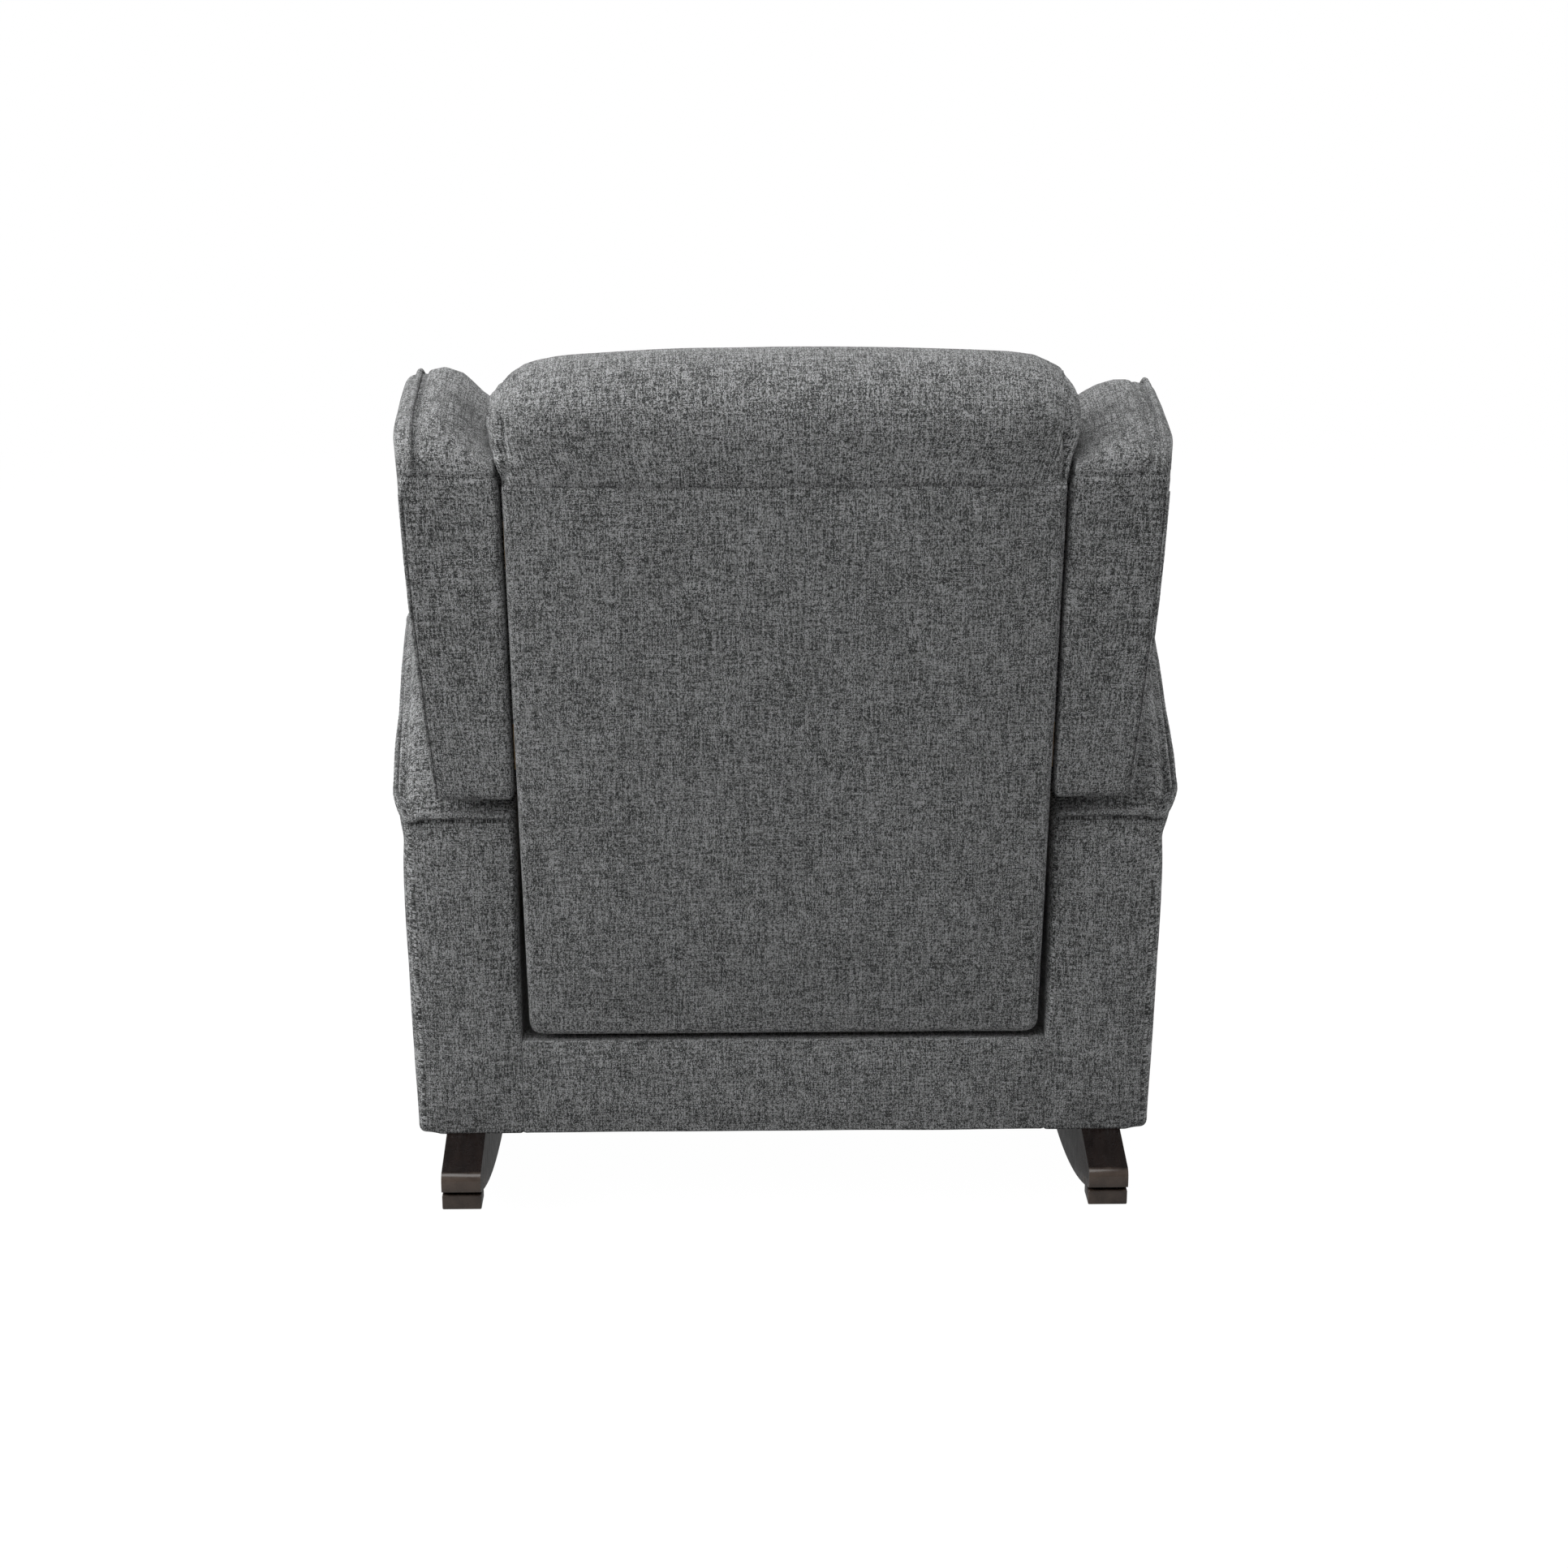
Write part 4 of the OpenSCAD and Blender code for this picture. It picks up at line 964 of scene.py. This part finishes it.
def build_back_cushion():
    """Inside back cushion, plump in the middle and drawn in at its seams."""
    top = sizes().seam_height
    low = back_place(np.array([0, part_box("back_cushion")[0][1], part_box("seat_cushion")[1][2]]))[2] - 9 * MM
    panel, stiles, gap, depth = 20 * MM, 36 * MM, 1 * MM, 90 * MM
    rear = -panel - stiles - gap
    box = ((-277 * MM, rear - depth, low), (277 * MM, rear, top - 1 * MM))
    piece = boxed_cushion("back_cushion_cover", box, 3 * MM, 26 * MM, 7 * MM,
                          place=lambda a, u, v: lean_place(u, v, a))
    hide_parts("back_cushion")
    return [piece]


def build_footrest():
    """Padded footrest face under the seat's front edge."""
    piece = boxed_cushion("footrest_cover", FOOT_BOX, -2 * MM, 10 * MM, 3 * MM)
    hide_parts("footrest_pad", "footrest_board")
    return [piece]


def build_seat_front():
    """Cloth drawn over the seat's front rail, seen between the cushion and the footrest."""
    (x0, y0, z0), (x1, y1, z1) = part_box("front_seat_rail")
    outline = box_outline((-ARM_IN, z0), (ARM_IN, z1 + 2 * MM), (2 * MM, 4 * MM), 6 * MM)
    form = Form(outline, y0 - 3 * MM, y1, (3 * MM, 1 * MM), step=8 * MM, cap_rings=20)
    form.place(lambda a, u, v: (u, a, v))
    cover = form.build("seat_front_cover", "linen")
    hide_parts("front_seat_rail")
    return [cover]


# ---------------------------------------------------------------- hard parts

def eased_copy(name, source, width, segments, material, body):
    """A copy of a CAD part with its long edges eased."""
    node_mesh = bpy.data.objects[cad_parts[source].name]
    mesh = node_mesh.data.copy()
    mesh.transform(node_mesh.matrix_world)
    work = bmesh.new()
    work.from_mesh(mesh)
    bmesh.ops.remove_doubles(work, verts=work.verts, dist=1e-5)
    bmesh.ops.dissolve_limit(work, angle_limit=math.radians(0.6), verts=work.verts, edges=work.edges)
    work.to_mesh(mesh)
    work.free()
    piece = add_object(name, mesh)
    bevel = piece.modifiers.new("ease", "BEVEL")
    bevel.width = width
    bevel.segments = segments
    bevel.limit_method = "ANGLE"
    bevel.angle_limit = math.radians(40)
    bake(piece)
    piece.data.materials.clear()
    piece.data.materials.append(finish(material))
    piece.data.shade_smooth()
    piece.data.set_sharp_from_angle(angle=math.radians(38))
    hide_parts(source)
    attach(piece, body)
    return piece


def stitch_group():
    """Geometry nodes that lay a thread stitch at each pitch along a run of edges."""
    group = bpy.data.node_groups.new("stitch_run", "GeometryNodeTree")
    face = group.interface
    face.new_socket("Run", in_out="INPUT", socket_type="NodeSocketGeometry")
    for label, kind in (("Pitch", "NodeSocketFloat"), ("Length", "NodeSocketFloat"),
                        ("Thickness", "NodeSocketFloat"), ("Thread", "NodeSocketMaterial")):
        face.new_socket(label, in_out="INPUT", socket_type=kind)
    face.new_socket("Stitches", in_out="OUTPUT", socket_type="NodeSocketGeometry")
    given = node(group, "NodeGroupInput").outputs
    curve = node(group, "GeometryNodeMeshToCurve", {"Mesh": given["Run"]}).outputs[0]
    even = node(group, "GeometryNodeResampleCurve", {"Curve": curve, "Length": given["Pitch"]},
                mode="LENGTH").outputs[0]
    tangent = node(group, "GeometryNodeInputTangent").outputs[0]
    turn = node(group, "FunctionNodeAlignRotationToVector", {"Vector": tangent}, axis="X").outputs[0]
    grain = node(group, "GeometryNodeMeshIcoSphere", {"Radius": 0.5, "Subdivisions": 2}).outputs[0]
    thick = given["Thickness"]
    scale = node(group, "ShaderNodeCombineXYZ", {0: given["Length"], 1: thick, 2: thick}).outputs[0]
    laid = node(group, "GeometryNodeInstanceOnPoints", {
        "Points": even, "Instance": grain, "Rotation": turn, "Scale": scale}).outputs[0]
    real = node(group, "GeometryNodeRealizeInstances", {"Geometry": laid}).outputs[0]
    dyed = node(group, "GeometryNodeSetMaterial", {"Geometry": real, "Material": given["Thread"]}).outputs[0]
    node(group, "NodeGroupOutput", {"Stitches": dyed})
    return group


def build_stitches():
    """Top stitching along the noted seams, one mesh for each body."""
    group = stitch_group()
    keys = {item.name: item.identifier for item in group.interface.items_tree if item.in_out == "INPUT"}
    for body, paths in SEAM_PATHS.items():
        verts, edges = [], []
        for path in paths:
            start = len(verts)
            verts += [tuple(p) for p in path]
            edges += [(start + i, start + i + 1) for i in range(len(path) - 1)]
        piece = add_mesh(f"stitches_{body}", verts, edges, [])
        laid = piece.modifiers.new("stitches", "NODES")
        laid.node_group = group
        laid[keys["Pitch"]] = sizes().stitch_pitch
        laid[keys["Length"]] = sizes().stitch_pitch * 0.62
        laid[keys["Thickness"]] = 0.9 * MM
        laid[keys["Thread"]] = finish("thread")
        bake(piece)
        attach(piece, body)


CAD_FINISHES = {
    "timber": ("arm_frame_left", "arm_frame_right", "rear_rail", "rear_seat_rail",
               "seat_side_rail_left", "seat_side_rail_right", "corner_blocks", "back_stile_left",
               "back_stile_right", "back_top_rail", "back_lumbar_rail", "back_bottom_rail",
               "wing_rail_left", "wing_rail_right"),
    "zinc": ("seat_springs", "mechanism_plate_left", "mechanism_plate_right", "pivot_pins", "rocker_bolts",
             "back_bracket_left", "back_bracket_right", "drive_rods", "footrest_lower_links",
             "footrest_guide_links", "footrest_upper_links", "footrest_tilt_links", "footrest_brackets"),
    "jute": ("back_webbing",),
}


def ride_all(pieces, body):
    """Let every piece ride on a body."""
    for piece in pieces:
        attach(piece, body)


def finish_frame():
    """Give each CAD part that shows its own finish."""
    for material, names in CAD_FINISHES.items():
        for name in names:
            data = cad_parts[name].data
            data.materials.clear()
            data.materials.append(finish(material))


# ---------------------------------------------------------------- stage

# Each lamp: name, place, aim, size of its rectangle and power in watts.
LAMPS = (("top", (0.5, 0.9, 3.1), (0, 0.1, 0.6), (2.4, 2.0), 55),
         ("key", (2.6, 2.2, 2.2), (0.1, 0.2, 0.75), (1.6, 1.6), 58),
         ("fill", (-2.4, 2.4, 1.8), (0, 0.2, 0.5), (2.0, 2.0), 4),
         ("side_left", (3.0, 0.1, 1.5), (0, 0, 0.55), (1.6, 1.6), 58),
         ("side_right", (-3.0, 0.1, 1.5), (0, 0, 0.55), (1.6, 1.6), 44),
         ("front", (0.4, -3.0, 2.4), (0, 0, 0.5), (2.4, 2.0), 45))
LENS = 71.76
CAMERA_PLACE = (0.062, 3.502, 1.403)
CAMERA_TURN = (math.radians(1.12), math.radians(16))
FLOOR_SIZE = 9.0


def area_light(name, place, aim, size, power):
    """A large soft lamp aimed at a point."""
    data = bpy.data.lights.new(name, "AREA")
    data.shape = "RECTANGLE"
    data.size, data.size_y = size
    data.energy = power
    lamp = add_object(name, data)
    lamp.location = place
    lamp.rotation_euler = (Vector(aim) - Vector(place)).to_track_quat("-Z", "Y").to_euler()
    return lamp


def build_stage():
    """White sweep, soft lamps and the camera behind the chair."""
    scene = bpy.context.scene
    scene.view_settings.view_transform = "Standard"
    world = bpy.data.worlds.new("studio")
    world.use_nodes = True
    scene.world = world
    tree = world.node_tree
    tree.nodes.clear()
    path = node(tree, "ShaderNodeLightPath").outputs
    plain = node(tree, "ShaderNodeBackground", {"Color": (1, 1, 1, 1), "Strength": 0.215})
    seen = node(tree, "ShaderNodeBackground", {"Color": (1, 1, 1, 1), "Strength": 1.0})
    mixed = node(tree, "ShaderNodeMixShader", {0: path["Is Camera Ray"], 1: plain.outputs[0], 2: seen.outputs[0]})
    node(tree, "ShaderNodeOutputWorld", {"Surface": mixed.outputs[0]})

    half = FLOOR_SIZE / 2
    corners = [(-half, -half, 0), (half, -half, 0), (half, half, 0), (-half, half, 0)]
    floor = add_mesh("floor", corners, [], [(0, 1, 2, 3)])
    material, tree = new_material("white_sweep")
    path = node(tree, "ShaderNodeLightPath").outputs
    matt = node(tree, "ShaderNodeBsdfDiffuse", {"Color": (0.32, 0.32, 0.32, 1)})
    white = node(tree, "ShaderNodeEmission", {"Color": (1, 1, 1, 1), "Strength": 1.1})
    part = maths(tree, "MAXIMUM", maths(tree, "MULTIPLY", path["Is Camera Ray"], 0.9),
                 maths(tree, "MULTIPLY", path["Is Glossy Ray"], 0.12))
    mixed = node(tree, "ShaderNodeMixShader", {0: part, 1: matt.outputs[0], 2: white.outputs[0]})
    node(tree, "ShaderNodeOutputMaterial", {"Surface": mixed.outputs[0]})
    floor.data.materials.append(material)

    lamps = [area_light(*lamp) for lamp in LAMPS]
    data = bpy.data.cameras.new("camera")
    data.lens = LENS
    data.sensor_width = 36
    camera = add_object("camera", data)
    camera.location = CAMERA_PLACE
    yaw, pitch = CAMERA_TURN
    aim = Vector((-math.sin(yaw) * math.cos(pitch), -math.cos(yaw) * math.cos(pitch), -math.sin(pitch)))
    camera.rotation_euler = aim.to_track_quat("-Z", "Y").to_euler()
    scene.camera = camera


# ---------------------------------------------------------------- add-on

class CHAIR_OT_back(bpy.types.Operator):
    """Build the outside back and its roll"""
    bl_idname = "chair.back"
    bl_label = "Build Back"

    def execute(self, context):
        ride_all(build_back_panel() + build_back_roll(), "back")
        return {"FINISHED"}


class CHAIR_OT_wings(bpy.types.Operator):
    """Build both wings with their welts"""
    bl_idname = "chair.wings"
    bl_label = "Build Wings"

    def execute(self, context):
        for side_name in SIDES:
            ride_all(build_wing(side_name), "back")
        return {"FINISHED"}


class CHAIR_OT_arms(bpy.types.Operator):
    """Build both arms with their welts, and the rear rail's cover"""
    bl_idname = "chair.arms"
    bl_label = "Build Arms"

    def execute(self, context):
        for side_name in SIDES:
            ride_all(build_arm(side_name), "chassis")
        ride_all(build_rail_cover(), "chassis")
        return {"FINISHED"}


class CHAIR_OT_cushions(bpy.types.Operator):
    """Build the seat cushion, the inside back cushion and the footrest's cover"""
    bl_idname = "chair.cushions"
    bl_label = "Build Cushions"

    def execute(self, context):
        for build, body in ((build_seat_cushion, "chassis"), (build_back_cushion, "back"),
                            (build_footrest, "footrest"), (build_seat_front, "chassis")):
            ride_all(build(), body)
        return {"FINISHED"}


class CHAIR_OT_rockers(bpy.types.Operator):
    """Build the lacquered rockers and their stop blocks"""
    bl_idname = "chair.rockers"
    bl_label = "Build Rockers"

    def execute(self, context):
        for side_name in SIDES:
            for part, width, segments in (("rocker", 4 * MM, 4), ("stop_block", 1.5 * MM, 3)):
                source = f"{part}_{side_name}"
                eased_copy(f"{source}_wood", source, width, segments, "espresso", "chassis")
        return {"FINISHED"}


class CHAIR_OT_frame(bpy.types.Operator):
    """Finish the frame, the linkage and the stitching"""
    bl_idname = "chair.frame"
    bl_label = "Finish Frame"

    def execute(self, context):
        finish_frame()
        build_stitches()
        return {"FINISHED"}


class CHAIR_OT_stage(bpy.types.Operator):
    """Build the floor, the lamps and the camera"""
    bl_idname = "chair.stage"
    bl_label = "Build Stage"

    def execute(self, context):
        build_stage()
        return {"FINISHED"}


class CHAIR_PT_panel(bpy.types.Panel):
    """Buttons and sizes of the chair"""
    bl_idname = "CHAIR_PT_panel"
    bl_label = "Wing Rocker"
    bl_space_type = "VIEW_3D"
    bl_region_type = "UI"
    bl_category = "Chair"

    def draw(self, context):
        for group in (context.scene.chair_sizes, context.scene.chair_colours):
            for key in group.bl_rna.properties.keys():
                if key not in ("rna_type", "name"):
                    self.layout.prop(group, key)
        for step in STEPS:
            self.layout.operator(step.bl_idname)


STEPS = (CHAIR_OT_back, CHAIR_OT_wings, CHAIR_OT_arms, CHAIR_OT_cushions, CHAIR_OT_rockers,
         CHAIR_OT_frame, CHAIR_OT_stage)
CLASSES = (ChairSizes, ChairColours, CHAIR_PT_panel) + STEPS


def register():
    """Register the classes and hang the settings on the scene."""
    for item in CLASSES:
        bpy.utils.register_class(item)
    bpy.types.Scene.chair_sizes = PointerProperty(type=ChairSizes)
    bpy.types.Scene.chair_colours = PointerProperty(type=ChairColours)


def unregister():
    """Take the settings and the classes away."""
    del bpy.types.Scene.chair_colours
    del bpy.types.Scene.chair_sizes
    for item in reversed(CLASSES):
        bpy.utils.unregister_class(item)


def main():
    """Build the whole chair."""
    register()
    for step in STEPS:
        getattr(bpy.ops.chair, step.bl_idname.split(".")[1])()


if __name__ == "__main__":
    main()
